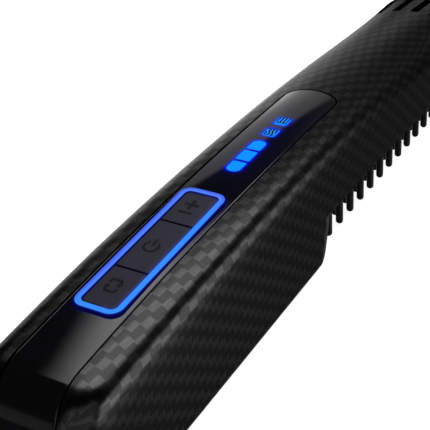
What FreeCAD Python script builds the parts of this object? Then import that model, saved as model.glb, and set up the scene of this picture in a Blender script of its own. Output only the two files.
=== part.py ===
import FreeCAD, Part
import math
import os
import Sketcher

Vector = FreeCAD.Vector
Rule = Sketcher.Constraint
doc = FreeCAD.newDocument("heated_beard_straightener")
sheet = doc.addObject("Spreadsheet::Sheet", "Sizes")

# Driving sizes in mm and degrees. Places along the body are measured from the butt end.
SIZES = (
    # Outer body
    ("length", 222, "butt end to head end"),
    ("half_width", 15, "centre plane to side wall"),
    ("height", 35, "underside to the highest point of the back"),
    ("arch_y", 85.8, "place of the highest point"),
    ("arch_radius", 1062, "long arch of the back"),
    ("crown_start", 46, "where the flat back starts to round over"),
    ("crown_flat_radius", 370, "crosswise crown of the handle"),
    ("crown_round_radius", 19, "crosswise crown of the head"),
    ("shoulder_small", 6.5, "shoulder radius of the handle"),
    ("shoulder_large", 7.5, "shoulder radius of the head"),
    ("base_edge", 1.2, "radius along the bottom edges"),
    ("butt_radius", 9.5, "butt rounding seen from the side"),
    ("butt_side_radius", 8, "butt rounding seen from above"),
    ("butt_base_radius", 1.5, "butt rounding at the underside"),
    ("nose_radius", 8, "head end rounding seen from the side"),
    ("nose_side_radius", 6.5, "head end rounding seen from above"),
    ("wall", 2.2, "housing wall"),
    ("overrun", 5, "reach of every cut beyond its face"),
    ("fit", 0.15, "gap round a part that sits in an opening"),
    ("screw_fit", 0.05, "gap round a screw shank"),
    # Base cover and the step up to the head
    ("cover", 1.6, "base cover thickness"),
    ("step_gap", 8, "foot of the step beyond the far bosses"),
    ("step_lean", 3.65, "how far the step leans toward the head"),
    ("step_wall", 1.7, "step wall thickness"),
    ("step_corner", 5.5, "radius at the foot of the step"),
    ("rim_height", 11.5, "head rim above the underside at the step"),
    ("droop", 1.6, "degrees the comb tips down toward the head end"),
    # Control panel
    ("panel_half_width", 7.5, "centre plane to panel edge"),
    ("panel_reach", 20, "panel tip beyond the comb symbol"),
    ("panel_tip_radius", 13, "arc of the panel tip"),
    ("panel_corner", 4.2, "radius beside the tip"),
    ("panel_thickness", 1.2, "panel thickness"),
    ("panel_foot", 6, "lower edge of the panel on the butt"),
    # Light ring and keys
    ("ring_y", 48.3, "middle of the ring"),
    ("ring_half_width", 5.95, "ring outside"),
    ("ring_half_length", 23.3, "ring outside"),
    ("ring_band", 1.6, "width of the lit band"),
    ("ring_corner", 3, "ring outside corner"),
    ("ring_rise", 0.5, "ring above the panel"),
    ("ring_depth", 3.5, "ring below the panel"),
    ("ring_edge", 0.25, "rounding of the ring top"),
    ("ring_foot", 0.7, "reach of the foot under the housing"),
    ("ring_foot_height", 0.9, "height of the foot"),
    ("mode_key_length", 14.6, "near end of the ring to the first split"),
    ("level_key_length", 13.85, "second split to the far end of the ring"),
    ("key_split", 0.4, "gap between two keys"),
    ("key_rise", 0.3, "key above the panel"),
    ("key_edge", 0.25, "rounding of a key top"),
    ("key_flange_reach", 0.8, "key flange under the ring"),
    ("key_flange", 0.8, "height of the key flange"),
    ("key_play", 0.2, "key flange below the ring"),
    ("key_travel", 0.5, "full press of a key"),
    ("stem_radius", 1.6, "post under a key"),
    # Indicator lights
    ("bar_place", 10.6, "level bar beyond the ring"),
    ("bar_length", 16, "level bar"),
    ("bar_half_width", 2.05, "half width of the level bar"),
    ("bar_gap", 0.55, "gap between two bar segments"),
    ("bar_corner", 0.5, "inner corners of the bar segments"),
    ("heat_icon_step", 4.7, "middle of the heat symbol beyond the bar"),
    ("icon_pitch", 6.3, "spacing of the two symbols"),
    ("icon_half_width", 1.9, "symbol window"),
    ("icon_half_length", 2.1, "symbol window"),
    ("icon_corner", 0.8, "corner of a symbol window"),
    ("window_fit", 0.04, "gap round a light window"),
    ("guide_half_width", 3.2, "light guide base"),
    ("guide_reach", 1.2, "light guide base beyond its windows"),
    ("guide_top", 4.5, "light guide base top below the key plane"),
    ("guide_height", 1, "light guide base height"),
    ("guide_leg", 1.4, "length of a light guide leg along the body"),
    # Main board
    ("board_top", 7, "board top below the key plane"),
    ("board", 1, "board thickness"),
    ("board_half_width", 9.6, "board"),
    ("board_reach", 4.5, "board beyond the light guide"),
    ("board_corner", 1.5, "corner of the board"),
    ("post_x", 7.9, "board post from the centre plane"),
    ("post_gap", 3.9, "near board posts before the ring foot"),
    ("post_inset", 2.8, "board posts from the ends of the board"),
    ("post_radius", 1.6, "board post"),
    ("small_screw_radius", 0.8, "thread of a small screw"),
    ("small_screw_length", 3, "thread of a board screw"),
    ("small_head_radius", 1.5, "head of a small screw"),
    ("small_head", 1, "head height of a small screw"),
    ("switch_half", 2.25, "half width of a push switch"),
    ("switch_height", 1.6, "push switch"),
    ("plunger_radius", 1, "push switch plunger"),
    ("plunger_sunk", 0.6, "plunger inside its switch"),
    ("plunger_out", 0.5, "plunger above its switch"),
    ("plunger_fit", 0.1, "gap round a plunger"),
    ("press_room", 0.25, "bore below a plunger that is fully pressed"),
    ("led_half", 0.8, "half length of a light source"),
    ("led_height", 0.7, "height of a light source"),
    ("chip_half", 3, "controller"),
    ("chip_height", 1.1, "controller"),
    ("coil_half", 3.2, "boost coil"),
    ("coil_height", 3, "boost coil"),
    ("chip_y", 34, "controller place"),
    ("coil_y", 62, "coil place"),
    ("driver_y", 80, "heater driver place"),
    # Battery
    ("cell_headroom", 18.6, "body height that the cell leaves free"),
    ("cell_sideroom", 4.05, "room beside the cell, with the wall"),
    ("cell_length", 65, "battery cell"),
    ("cell_start", 22.4, "near end of the cell"),
    ("cell_floor", 1.5, "cell above the base cover"),
    ("cell_button_radius", 3, "raised contact"),
    ("cell_button", 0.4, "raised contact height"),
    ("cell_fit", 0.1, "gap round the cell"),
    ("cradle_side", 1.2, "cradle beyond the cell"),
    ("cradle_drop", 2.9, "cradle top below the cell axis"),
    ("cradle_end", 1.4, "end wall of the cradle"),
    ("tab", 0.3, "contact strip thickness"),
    ("tab_half_width", 2.5, "contact strip"),
    ("tab_drop", 2.3, "contact strip below the cell axis"),
    ("tab_rise", 1.9, "contact strip above the cell"),
    ("lead_radius", 0.6, "lead"),
    ("lead_joint", 2.4, "soldered length of a battery lead"),
    ("lead_bend", 1.6, "bend of a lead"),
    ("lead_x", 2.4, "heater lead from the centre plane"),
    # Base screws
    ("boss_x", 10.65, "screw boss from the centre plane"),
    ("boss_near", 14, "near bosses"),
    ("boss_gap", 0.5, "far bosses beyond the cradle"),
    ("boss_radius", 2.5, "screw boss"),
    ("boss_top", 15, "screw boss above the underside"),
    ("screw_radius", 1, "thread of a housing screw"),
    ("screw_length", 9, "thread of a housing screw"),
    ("screw_head_radius", 1.9, "head of a housing screw"),
    ("screw_head", 0.8, "head height of a housing screw"),
    ("screw_sunk", 0.9, "depth of the head recess"),
    ("cross_half", 0.2, "half width of a drive cross bar"),
    ("cross_depth", 0.45, "depth of a drive cross"),
    # Charging port
    ("port_z", 15, "port axis above the underside"),
    ("port_half_width", 4.47, "port shell"),
    ("port_half_height", 1.63, "port shell"),
    ("port_corner", 1.5, "corner of the port shell"),
    ("port_shell", 0.3, "port shell wall"),
    ("port_start", 0.5, "port mouth from the butt end"),
    ("port_length", 7.3, "port shell"),
    ("port_back", 1.2, "solid back of the port"),
    ("tongue_half_width", 3.3, "port tongue"),
    ("tongue_half_height", 0.35, "port tongue"),
    ("tongue_length", 5, "port tongue"),
    ("charge_half_width", 5.6, "charging board"),
    ("charge_start", 2.8, "near end of the charging board"),
    ("charge_end", 19, "far end of the charging board"),
    ("charge_board", 1, "charging board thickness"),
    ("stand_x", 3, "ribs under the charging board"),
    ("stand_half", 0.6, "half thickness of a rib"),
    ("stand_start", 5, "near end of the ribs"),
    ("stand_end", 17, "far end of the ribs"),
    # Comb
    ("lip", 1, "housing lip round the comb frame"),
    ("frame", 2.2, "comb frame thickness"),
    ("frame_sunk", 0.2, "comb frame above the rim"),
    ("frame_corner", 7, "far corners of the comb frame"),
    ("frame_tongue", 3, "tongue over the step wall"),
    ("frame_tongue_half_width", 9, "tongue over the step wall"),
    ("pin_radius", 1, "bristle"),
    ("pin_length", 8.4, "bristle below the rim"),
    ("pin_start", 5.6, "first outer bristle from the step"),
    ("pin_end", 10.1, "last outer bristle from the head end"),
    ("pin_x", 12.1, "outer bristle row"),
    ("pin_row", 2.8, "spacing of the two bristle rows"),
    ("heater_half_width", 6.2, "heater plate"),
    ("heater_margin", 3.1, "heater plate beyond its end teeth"),
    ("heater_flange_reach", 1.2, "heater plate flange"),
    ("heater_flange", 1, "heater plate flange"),
    ("heater_fit", 0.2, "gap round the heater plate"),
    ("heater_proud", 0.3, "heater plate below the comb frame"),
    ("tooth_radius", 0.9, "heated tooth"),
    ("tooth_length", 4, "heated tooth below the rim"),
    ("tooth_row", 4.1, "spacing of the tooth rows"),
    # Heater stack
    ("ceramic", 1.5, "ceramic heater thickness"),
    ("ceramic_half_width", 5, "ceramic heater"),
    ("ceramic_margin", 9, "ceramic heater short of the plate ends"),
    ("mica", 0.4, "insulating sheet thickness"),
    ("mica_margin", 1, "insulating sheet short of the plate ends"),
    ("clamp", 0.8, "clamp plate thickness"),
    ("clamp_half_width", 6.2, "clamp plate"),
    ("clamp_ear", 10.8, "clamp ear from the centre plane"),
    ("clamp_ear_half", 2.6, "half length of a clamp ear"),
    ("ear_inset", 12, "clamp ears from the plate ends"),
    ("ear_post_x", 9.1, "clamp posts from the centre plane"),
    ("ear_post_radius", 1.5, "clamp post"),
    ("sensor_half", 1, "temperature sensor"),
    ("sensor_height", 1.3, "temperature sensor"),
    ("sensor_place", 4, "sensor from the plate end"),
    ("fuse_radius", 1.3, "thermal fuse"),
    ("fuse_length", 9, "thermal fuse"),
    ("fuse_place", 30, "thermal fuse from the plate end"),
    ("nose_screw_inset", 7.6, "comb screw from the head end"),
    ("nose_boss_radius", 2.2, "comb screw boss"),
    # Vents
    ("vent_inset", 24, "near ends of the vent slots from the head end"),
    ("vent_length", 14, "vent slot"),
    ("vent_half_width", 1.3, "vent slot"),
    ("vent_corner", 0.6, "corner of a vent slot"),
    ("vent_pitch", 5.4, "spacing of the vent slots"),
    ("vent_depth", 8.4, "vent slots below the back"),
)

RIGHT_ANGLE = 90
ROUND_STEPS = 6
MIDDLE_STEPS = 10
STAGGER_SHARE = 0.5
LIGHT_SHARE = 0.655
LEVEL_SHARE = 1e-6
BAR_END_SHARE = 0.9
CROSS_SHARE = 0.55
TIP_SHARE = 0.97
PIN_COUNT = 16
VENT_SIDES = (-2, -1, 0, 1, 2)
SIDES = (-1, 1)


class Size:
    """A size of the sheet, or a sum of sizes, as a value and as an expression."""

    def __init__(self, value, text):
        self.value = value
        self.text = text

    def join(self, other, sign, value):
        return Size(value, f"({self.text} {sign} {other.text})")

    def __add__(self, other):
        other = as_size(other)
        return self.join(other, "+", self.value + other.value)

    def __sub__(self, other):
        other = as_size(other)
        return self.join(other, "-", self.value - other.value)

    def __mul__(self, other):
        other = as_size(other)
        return self.join(other, "*", self.value * other.value)

    def __truediv__(self, other):
        other = as_size(other)
        return self.join(other, "/", self.value / other.value)

    def __radd__(self, other):
        return as_size(other) + self

    def __rsub__(self, other):
        return as_size(other) - self

    def __rmul__(self, other):
        return as_size(other) * self

    def __rtruediv__(self, other):
        return as_size(other) / self

    def __neg__(self):
        return Size(-self.value, f"(-1 * {self.text})")


def as_size(number):
    """A plain share or count as a Size."""
    if isinstance(number, Size):
        return number
    return Size(number, f"({number})")


class Sheet:
    """The sheet's cells by name."""


size = Sheet()
for number, (name, value, note) in enumerate(SIZES, 1):
    sheet.set(f"A{number}", name)
    sheet.set(f"B{number}", str(value))
    sheet.set(f"C{number}", note)
    sheet.setAlias(f"B{number}", name)
    setattr(size, name, Size(value, f"Sizes.{name}"))
doc.recompute()
ZERO = as_size(0)


def bind(thing, field, amount):
    """Ties one property of a document object to the sheet."""
    thing.setExpression(field, as_size(amount).text)


class Frame:
    """A place along the body, tipped about the crosswise axis."""

    def __init__(self, y, z, tip):
        self.y = y
        self.z = z
        self.tip = tip
        angle = math.radians(tip.value)
        self.cos = Size(math.cos(angle), f"cos({tip.text})")
        self.sin = Size(math.sin(angle), f"sin({tip.text})")

    def place(self, thing, x=ZERO, along=ZERO, up=ZERO):
        """Puts a thing at a point of this frame, measured in the tipped frame."""
        base = Vector(0, 0, 0)
        thing.Placement = FreeCAD.Placement(base, FreeCAD.Rotation(Vector(1, 0, 0), self.tip.value))
        bind(thing, "Placement.Base.x", x)
        bind(thing, "Placement.Base.y", self.y + along * self.cos - up * self.sin)
        bind(thing, "Placement.Base.z", self.z + along * self.sin + up * self.cos)
        if self.tip is not ZERO:
            bind(thing, "Placement.Rotation.Angle", self.tip)
        return thing


def back_height(y):
    """Height of the arched back on the centre line."""
    away = y - size.arch_y
    return size.height - away * away / (2 * size.arch_radius)


def row(y):
    """A place measured from the butt end, in the row's frame."""
    return y - size.length / 2


def smaller(first, second):
    return Size(min(first.value, second.value), f"min({first.text}; {second.text})")


# Places along the back, each from its neighbour
ring_start = size.ring_y - size.ring_half_length
ring_end = size.ring_y + size.ring_half_length
bar_start = ring_end + size.bar_place
bar_end = bar_start + size.bar_length
heat_icon_y = bar_end + size.heat_icon_step
comb_icon_y = heat_icon_y + size.icon_pitch
panel_tip = comb_icon_y + size.panel_reach
guide_end = comb_icon_y + size.icon_half_length + size.guide_reach
post_near = ring_start - size.ring_foot - size.post_gap
board_start = post_near - size.post_inset
board_end = guide_end + size.board_reach
post_far = board_end - size.post_inset

# Battery, as thick as the body has room for, and the places beyond it along the underside
cell_radius = smaller((size.height - size.cell_headroom) / 2, size.half_width - size.cell_sideroom)
cell_z = size.cover + size.cell_floor + cell_radius
cell_end = size.cell_start + size.cell_length
button_end = cell_end + size.cell_button
trough_start = size.cell_start - size.tab - size.fit
trough_end = button_end + size.tab + size.fit
boss_far = trough_end + size.cradle_end + size.boss_gap + size.boss_radius
step_y = boss_far + size.step_gap
rim_start = step_y + size.step_lean
pin_pitch = (size.length - size.pin_end - rim_start - size.pin_start) / (PIN_COUNT - 1)
vent_start = size.length - size.vent_inset

# Frames of the body, the keys and the head
slope = (size.arch_y - size.ring_y) / size.arch_radius
key_tip = Size(math.degrees(math.atan(slope.value)), f"atan({slope.text})")
body_frame = Frame(row(ZERO), ZERO, ZERO)
key_frame = Frame(row(size.ring_y), back_height(size.ring_y), key_tip)
head_frame = Frame(row(rim_start), size.rim_height, -size.droop)

# Sketch planes
PLAN = FreeCAD.Rotation()
ACROSS = FreeCAD.Rotation(Vector(1, 0, 0), RIGHT_ANGLE)
SIDE = FreeCAD.Rotation(Vector(1, 1, 1), 120)


def add(kind, name):
    return doc.addObject(kind, name)


def free_sketch(name, rotation):
    """A sketch of its own, in the row's frame."""
    sketch = add("Sketcher::SketchObject", name)
    sketch.Placement = FreeCAD.Placement(Vector(0, 0, 0), rotation)
    return sketch


def body_sketch(body, name, up):
    """A level sketch of a body at a height."""
    sketch = body.newObject("Sketcher::SketchObject", name)
    planes = body.Origin.OriginFeatures
    level = next(plane for plane in planes if plane.Role == "XY_Plane")
    sketch.AttachmentSupport = [(level, "")]
    sketch.MapMode = "FlatFace"
    bind(sketch, "AttachmentOffset.Base.z", up)
    return sketch


def dimension(sketch, rule, amount):
    """Adds one dimension and ties it to the sheet."""
    number = sketch.addConstraint(rule)
    label = f"size_{number}"
    sketch.renameConstraint(number, label)
    bind(sketch, f"Constraints.{label}", amount)


def pin_point(sketch, item, end, x, y):
    """Fixes one point of a sketch."""
    if x.value == 0:
        sketch.addConstraint(Rule("PointOnObject", item, end, -2))
    else:
        dimension(sketch, Rule("DistanceX", -1, 1, item, end, x.value), x)
    if y.value == 0:
        sketch.addConstraint(Rule("PointOnObject", item, end, -1))
    else:
        dimension(sketch, Rule("DistanceY", -1, 1, item, end, y.value), y)


def flat(x, y):
    return Vector(x, y, 0)


def line(start, end):
    return Part.LineSegment(start, end)


def arc(centre, radius, first, last):
    return Part.ArcOfCircle(Part.Circle(centre, Vector(0, 0, 1), radius), first, last)


def outline(sketch, corners):
    """A closed outline through corners, some of them rounded."""
    count = len(corners)
    spots = [flat(corner[0].value, corner[1].value) for corner in corners]
    trims = []
    for index, corner in enumerate(corners):
        before = (spots[index - 1] - spots[index]).normalize()
        after = (spots[(index + 1) % count] - spots[index]).normalize()
        radius = corner[2].value if len(corner) > 2 else 0
        reach = radius / math.tan(before.getAngle(after) / 2)
        trims.append((spots[index] + before * reach, spots[index] + after * reach))
    lines = []
    for index in range(count):
        start = trims[index][1]
        end = trims[(index + 1) % count][0]
        lines.append(sketch.addGeometry(line(start, end), False))
    for index, corner in enumerate(corners):
        coming = lines[index - 1]
        going = lines[index]
        if len(corner) == 2:
            sketch.addConstraint(Rule("Coincident", coming, 2, going, 1))
            pin_point(sketch, going, 1, corner[0], corner[1])
            continue
        round_corner(sketch, coming, going, spots[index], trims[index], corner)


def round_corner(sketch, coming, going, spot, trim, corner):
    """A tangent arc at one corner of an outline."""
    radius = corner[2].value
    middle = (trim[0] + trim[1]) / 2
    reach = (trim[0] - spot).Length
    to_centre = (middle - spot).normalize() * math.hypot(reach, radius)
    centre = spot + to_centre
    first = math.atan2(trim[0].y - centre.y, trim[0].x - centre.x)
    last = math.atan2(trim[1].y - centre.y, trim[1].x - centre.x)
    turn = (trim[0] - spot).cross(trim[1] - spot).z
    flip = turn > 0
    if flip:
        first, last = last, first
    if last < first:
        last += 2 * math.pi
    item = sketch.addGeometry(arc(centre, radius, first, last), False)
    point = sketch.addGeometry(Part.Point(spot), True)
    start, end = (2, 1) if flip else (1, 2)
    sketch.addConstraint(Rule("Tangent", coming, 2, item, start))
    sketch.addConstraint(Rule("Tangent", item, end, going, 1))
    dimension(sketch, Rule("Radius", item, radius), corner[2])
    pin_point(sketch, point, 1, corner[0], corner[1])
    sketch.addConstraint(Rule("PointOnObject", point, 1, coming))
    sketch.addConstraint(Rule("PointOnObject", point, 1, going))


def rectangle(sketch, left, right, low, high, radius=None):
    corners = [(left, low), (right, low), (right, high), (left, high)]
    if radius is not None:
        corners = [(x, y, radius) for x, y in corners]
    outline(sketch, corners)


def circle(sketch, x, y, radius):
    spot = flat(x.value, y.value)
    item = sketch.addGeometry(Part.Circle(spot, Vector(0, 0, 1), radius.value), False)
    pin_point(sketch, item, 3, x, y)
    dimension(sketch, Rule("Radius", item, radius.value), radius)


def arched_outline(sketch, half, low, high, crown, shoulder, corner):
    """A box outline with an arched top, rounded shoulders and rounded lower corners."""
    width, top, bottom = half.value, high.value, low.value
    big, small, foot = crown.value, shoulder.value, corner.value
    middle = top - big
    side = width - small
    side_top = middle + math.sqrt((big - small) ** 2 - side ** 2)
    lean = math.atan2(side, side_top - middle)
    quarter = math.pi / 2
    items = (
        line(flat(foot - width, bottom), flat(width - foot, bottom)),
        arc(flat(width - foot, bottom + foot), foot, -quarter, 0),
        line(flat(width, bottom + foot), flat(width, side_top)),
        arc(flat(side, side_top), small, 0, quarter - lean),
        arc(flat(0, middle), big, quarter - lean, quarter + lean),
        arc(flat(-side, side_top), small, quarter + lean, 2 * quarter),
        line(flat(-width, side_top), flat(-width, bottom + foot)),
        arc(flat(foot - width, bottom + foot), foot, 2 * quarter, 3 * quarter),
    )
    base, _, right, right_shoulder, top_arc, left_shoulder, left, left_foot = range(len(items))
    right_foot = 1
    sketch.addGeometry(list(items), False)
    for item in range(len(items)):
        sketch.addConstraint(Rule("Tangent", item, 2, (item + 1) % len(items), 1))
    sketch.addConstraint(Rule("Symmetric", base, 1, base, 2, -2))
    sketch.addConstraint(Rule("Vertical", right))
    sketch.addConstraint(Rule("Vertical", left))
    sketch.addConstraint(Rule("Equal", right_shoulder, left_shoulder))
    sketch.addConstraint(Rule("Equal", right_foot, left_foot))
    sketch.addConstraint(Rule("PointOnObject", top_arc, 3, -2))
    dimension(sketch, Rule("DistanceX", -1, 1, right, 1, width), half)
    if bottom == 0:
        sketch.addConstraint(Rule("PointOnObject", base, 1, -1))
    else:
        dimension(sketch, Rule("DistanceY", -1, 1, base, 1, bottom), low)
    dimension(sketch, Rule("DistanceY", -1, 1, top_arc, 3, middle), high - crown)
    dimension(sketch, Rule("Radius", top_arc, big), crown)
    dimension(sketch, Rule("Radius", right_shoulder, small), shoulder)
    dimension(sketch, Rule("Radius", right_foot, foot), corner)


# Solids made of sketches and primitives

def prism(name, sketch, forward, both_ways=False):
    """A sketch drawn out along its own normal."""
    solid = add("Part::Extrusion", name)
    solid.Base = sketch
    solid.DirMode = "Normal"
    solid.Solid = True
    solid.Symmetric = both_ways
    bind(solid, "LengthFwd", forward)
    return solid


def box(name, frame, x, y, z):
    """A block between two places on each axis of a frame."""
    block = add("Part::Box", name)
    bind(block, "Length", x[1] - x[0])
    bind(block, "Width", y[1] - y[0])
    bind(block, "Height", z[1] - z[0])
    return frame.place(block, x[0], y[0], z[0])


def rod(name, frame, radius, x, y, z):
    """An upright rod of a frame."""
    solid = add("Part::Cylinder", name)
    bind(solid, "Radius", radius)
    bind(solid, "Height", z[1] - z[0])
    return frame.place(solid, x, y, z[0])


def lying_rod(name, frame, radius, x, y, z):
    """A rod along the body."""
    solid = add("Part::Cylinder", name)
    bind(solid, "Radius", radius)
    bind(solid, "Height", y[1] - y[0])
    turned = Frame(frame.y, frame.z, frame.tip - RIGHT_ANGLE)
    return turned.place(solid, x, -z, y[0])


def fuse(name, things):
    solid = add("Part::MultiFuse", name)
    solid.Shapes = things
    solid.Refine = False
    return solid


def common(name, first, second):
    solid = add("Part::MultiCommon", name)
    solid.Shapes = [first, second]
    solid.Refine = False
    return solid


def cut(name, base, tools):
    """Takes the tools away one after another."""
    solid = base
    for tool in tools:
        left = add("Part::Cut", name)
        left.Base = solid
        left.Tool = tool
        left.Refine = False
        solid = left
    return solid


def group(name, things):
    """Separate solids that share one node."""
    solid = add("Part::Compound", name)
    solid.Links = things
    return solid


def new_body(name, frame):
    body = add("PartDesign::Body", f"{name}_body")
    return frame.place(body)


def pad(body, name, low, high, draw):
    """Draws an outline at one height and fills it up to another."""
    sketch = body_sketch(body, f"{name}_sketch", low)
    draw(sketch)
    feature = body.newObject("PartDesign::Pad", name)
    feature.Profile = sketch
    bind(feature, "Length", high - low)
    return feature


def pocket(body, name, low, high, draw):
    """Cuts an outline from one height down to another."""
    sketch = body_sketch(body, f"{name}_sketch", high)
    draw(sketch)
    feature = body.newObject("PartDesign::Pocket", name)
    feature.Profile = sketch
    bind(feature, "Length", high - low)
    return feature


def round_edges(body, name, feature, height, radius):
    """Rounds every edge of a feature that lies at one height of the body."""
    doc.recompute()
    local = feature.Shape.copy()
    local.Placement = FreeCAD.Placement()
    tolerance = local.BoundBox.ZLength * LEVEL_SHARE
    edges = []
    for number, edge in enumerate(local.Edges, 1):
        span = edge.BoundBox
        level = abs(span.ZMin - height.value) < tolerance and abs(span.ZMax - height.value) < tolerance
        if level:
            edges.append(f"Edge{number}")
    fillet = body.newObject("PartDesign::Fillet", name)
    fillet.Base = (feature, edges)
    bind(fillet, "Radius", radius)
    return fillet


nodes = []


def node(thing, name):
    """Names a finished sub-part."""
    thing.Label = name
    nodes.append(thing)
    return thing


# Outer form, and the same form set in by a wall

def crown_share(y):
    """How far the back has rounded over at one place, from none to all."""
    crown_end = size.length - size.nose_radius
    share = (y - size.crown_start) / (crown_end - size.crown_start)
    return Size(min(max(share.value, 0), 1), f"min(max({share.text}; 0); 1)")


def section(name, y, half, top, inset, low):
    """One cross section of a form."""
    sketch = free_sketch(name, ACROSS)
    bind(sketch, "Placement.Base.y", row(y))
    share = crown_share(y)
    flat_bend = 1 / size.crown_flat_radius
    round_bend = 1 / size.crown_round_radius
    crown = 1 / (flat_bend + share * (round_bend - flat_bend)) - inset
    shoulder = size.shoulder_small + share * (size.shoulder_large - size.shoulder_small) - inset
    arched_outline(sketch, half, low, top, crown, shoulder, size.base_edge)
    return sketch


def end_sections(name, inset, low, radius, side_radius, place):
    """Cross sections that round off one end of a form, from the tip inward."""
    sections = []
    for step in range(ROUND_STEPS + 1):
        angle = math.radians(RIGHT_ANGLE * step / ROUND_STEPS)
        along_share = 1 - math.cos(angle)
        inset_share = 1 - math.sin(angle) if step < ROUND_STEPS else 0
        y = place(inset + (radius - inset) * along_share)
        side = inset + (side_radius - inset) * inset_share
        drop = inset + (radius - inset) * inset_share
        foot = low + size.butt_base_radius * inset_share
        top = back_height(y) - drop
        sections.append(section(f"{name}_{step}", y, size.half_width - side, top, inset, foot))
    return sections


def loft(name, sections):
    solid = add("Part::Loft", name)
    solid.Sections = sections
    solid.Solid = True
    solid.Ruled = True
    return solid


def form(name, inset, low):
    """The whole outer shape, set in all round by one distance."""
    butt = end_sections(f"{name}_butt", inset, low, size.butt_radius, size.butt_side_radius, lambda y: y)
    nose = end_sections(f"{name}_nose", inset, low, size.nose_radius, size.nose_side_radius,
                        lambda y: size.length - y)
    middle = []
    start = size.butt_radius
    end = size.length - size.nose_radius
    for number in range(1, MIDDLE_STEPS):
        y = start + (end - start) * number / MIDDLE_STEPS
        top = back_height(y) - inset
        middle.append(section(f"{name}_{number}", y, size.half_width - inset, top, inset, low))
    butt_end = loft(f"{name}_butt", butt)
    trunk = loft(f"{name}_trunk", [butt[-1]] + middle + [nose[-1]])
    nose_end = loft(f"{name}_nose", nose)
    return fuse(name, [butt_end, trunk, nose_end])


outer_form = form("outer_form", ZERO, ZERO)
panel_form = form("panel_form", size.panel_thickness, size.panel_thickness)
hollow_form = form("hollow_form", size.wall, size.cover / 2)

# Openings through the panel and the housing

def panel_region(name, gap):
    """Upright block that takes in everything inside the panel's outline."""
    sketch = free_sketch(f"{name}_sketch", PLAN)
    bind(sketch, "Placement.Base.z", size.panel_foot - gap)
    bind(sketch, "Placement.Base.y", row(ZERO))
    half = size.panel_half_width + gap
    corner = size.panel_corner + gap
    arched_outline(sketch, half, -size.overrun, panel_tip + gap, size.panel_tip_radius + gap,
                   corner, size.base_edge)
    return prism(name, sketch, size.height + size.overrun)


def key_plane_sketch(name, up):
    """A sketch square to the keys' press."""
    return key_frame.place(free_sketch(name, PLAN), ZERO, ZERO, up)


def ring_opening(name, gap):
    sketch = key_plane_sketch(f"{name}_sketch", -size.overrun)
    half = size.ring_half_width + gap
    length = size.ring_half_length + gap
    rectangle(sketch, -half, half, -length, length, size.ring_corner + gap)
    return prism(name, sketch, size.overrun + size.overrun)


def bar_bounds(number):
    """Near and far end of one segment of the level bar, from the ring middle."""
    segment = (bar_end - bar_start - 2 * size.bar_gap) / 3
    start = bar_start - size.ring_y + (segment + size.bar_gap) * number
    return start, start + segment


def draw_windows(sketch, gap):
    """The three bar segments and the two symbol windows."""
    half = size.bar_half_width + gap
    end_radius = size.bar_half_width * BAR_END_SHARE
    inner = size.bar_corner
    corner_radii = ((end_radius, inner), (inner, inner), (inner, end_radius))
    for number, (low_radius, high_radius) in enumerate(corner_radii):
        low, high = bar_bounds(number)
        low = low - gap
        high = high + gap
        outline(sketch, [(-half, low, low_radius), (half, low, low_radius),
                         (half, high, high_radius), (-half, high, high_radius)])
    for middle in (heat_icon_y, comb_icon_y):
        half = size.icon_half_width + gap
        low = middle - size.ring_y - size.icon_half_length - gap
        high = middle - size.ring_y + size.icon_half_length + gap
        rectangle(sketch, -half, half, low, high, size.icon_corner)


def window_prism(name, gap):
    sketch = key_plane_sketch(f"{name}_sketch", -size.guide_top)
    draw_windows(sketch, gap)
    return prism(name, sketch, size.guide_top + size.overrun)


def port_prism(name, gap, y):
    """The charging port's outline drawn out along the body between two places."""
    sketch = free_sketch(f"{name}_sketch", ACROSS)
    bind(sketch, "Placement.Base.y", row(y[1]))
    half = size.port_half_width + gap
    low = size.port_z - size.port_half_height - gap
    high = size.port_z + size.port_half_height + gap
    rectangle(sketch, -half, half, low, high, size.port_corner + gap)
    return prism(name, sketch, y[1] - y[0])


port_hole = port_prism("port_hole", size.fit, (-size.overrun, size.overrun))
ring_hole = ring_opening("ring_hole", size.fit)

# Control panel: thin gloss strip let into the back, over the butt and down its end

panel_sheet = cut("panel_sheet", common("panel_block", outer_form, panel_region("panel_outline", ZERO)),
                  [panel_form])
panel_holes = [ring_hole, window_prism("window_holes", size.window_fit), port_hole]
node(cut("panel_cut", panel_sheet, panel_holes), "control_panel")

# Main housing: hollow shell, open underneath, with screw bosses and board posts

rim_frame_top = size.frame_sunk + size.frame
seam_end = step_y - size.step_wall + size.step_lean * size.cover / size.rim_height
comb_half_width = size.half_width - size.lip - size.fit
comb_far = size.length - rim_start - size.lip - size.fit
nose_screw_y = size.length - size.nose_screw_inset - rim_start
boss_spots = [(side * size.boss_x, y) for side in SIDES for y in (size.boss_near, boss_far)]
post_places = (post_near - size.ring_y, post_far - size.ring_y)
post_spots = [(side * size.post_x, y) for side in SIDES for y in post_places]


def draw_comb_outline(sketch, gap):
    half = comb_half_width + gap
    outline(sketch, [(-half, -gap), (half, -gap), (half, comb_far + gap, size.frame_corner + gap),
                     (-half, comb_far + gap, size.frame_corner + gap)])


def underside_cut():
    """All that lies below the base cover's seam and below the head's rim."""
    sketch = free_sketch("underside_sketch", SIDE)
    bind(sketch, "Placement.Base.y", row(ZERO))
    far = size.length + size.overrun
    far_rim = size.rim_height + (far - rim_start) * head_frame.sin / head_frame.cos
    outline(sketch, [(-size.overrun, -size.overrun), (far, -size.overrun), (far, far_rim),
                     (rim_start - size.step_wall, size.rim_height), (seam_end, size.cover),
                     (-size.overrun, size.cover)])
    return prism("underside_cut", sketch, 2 * (size.half_width + size.overrun), True)


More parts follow.
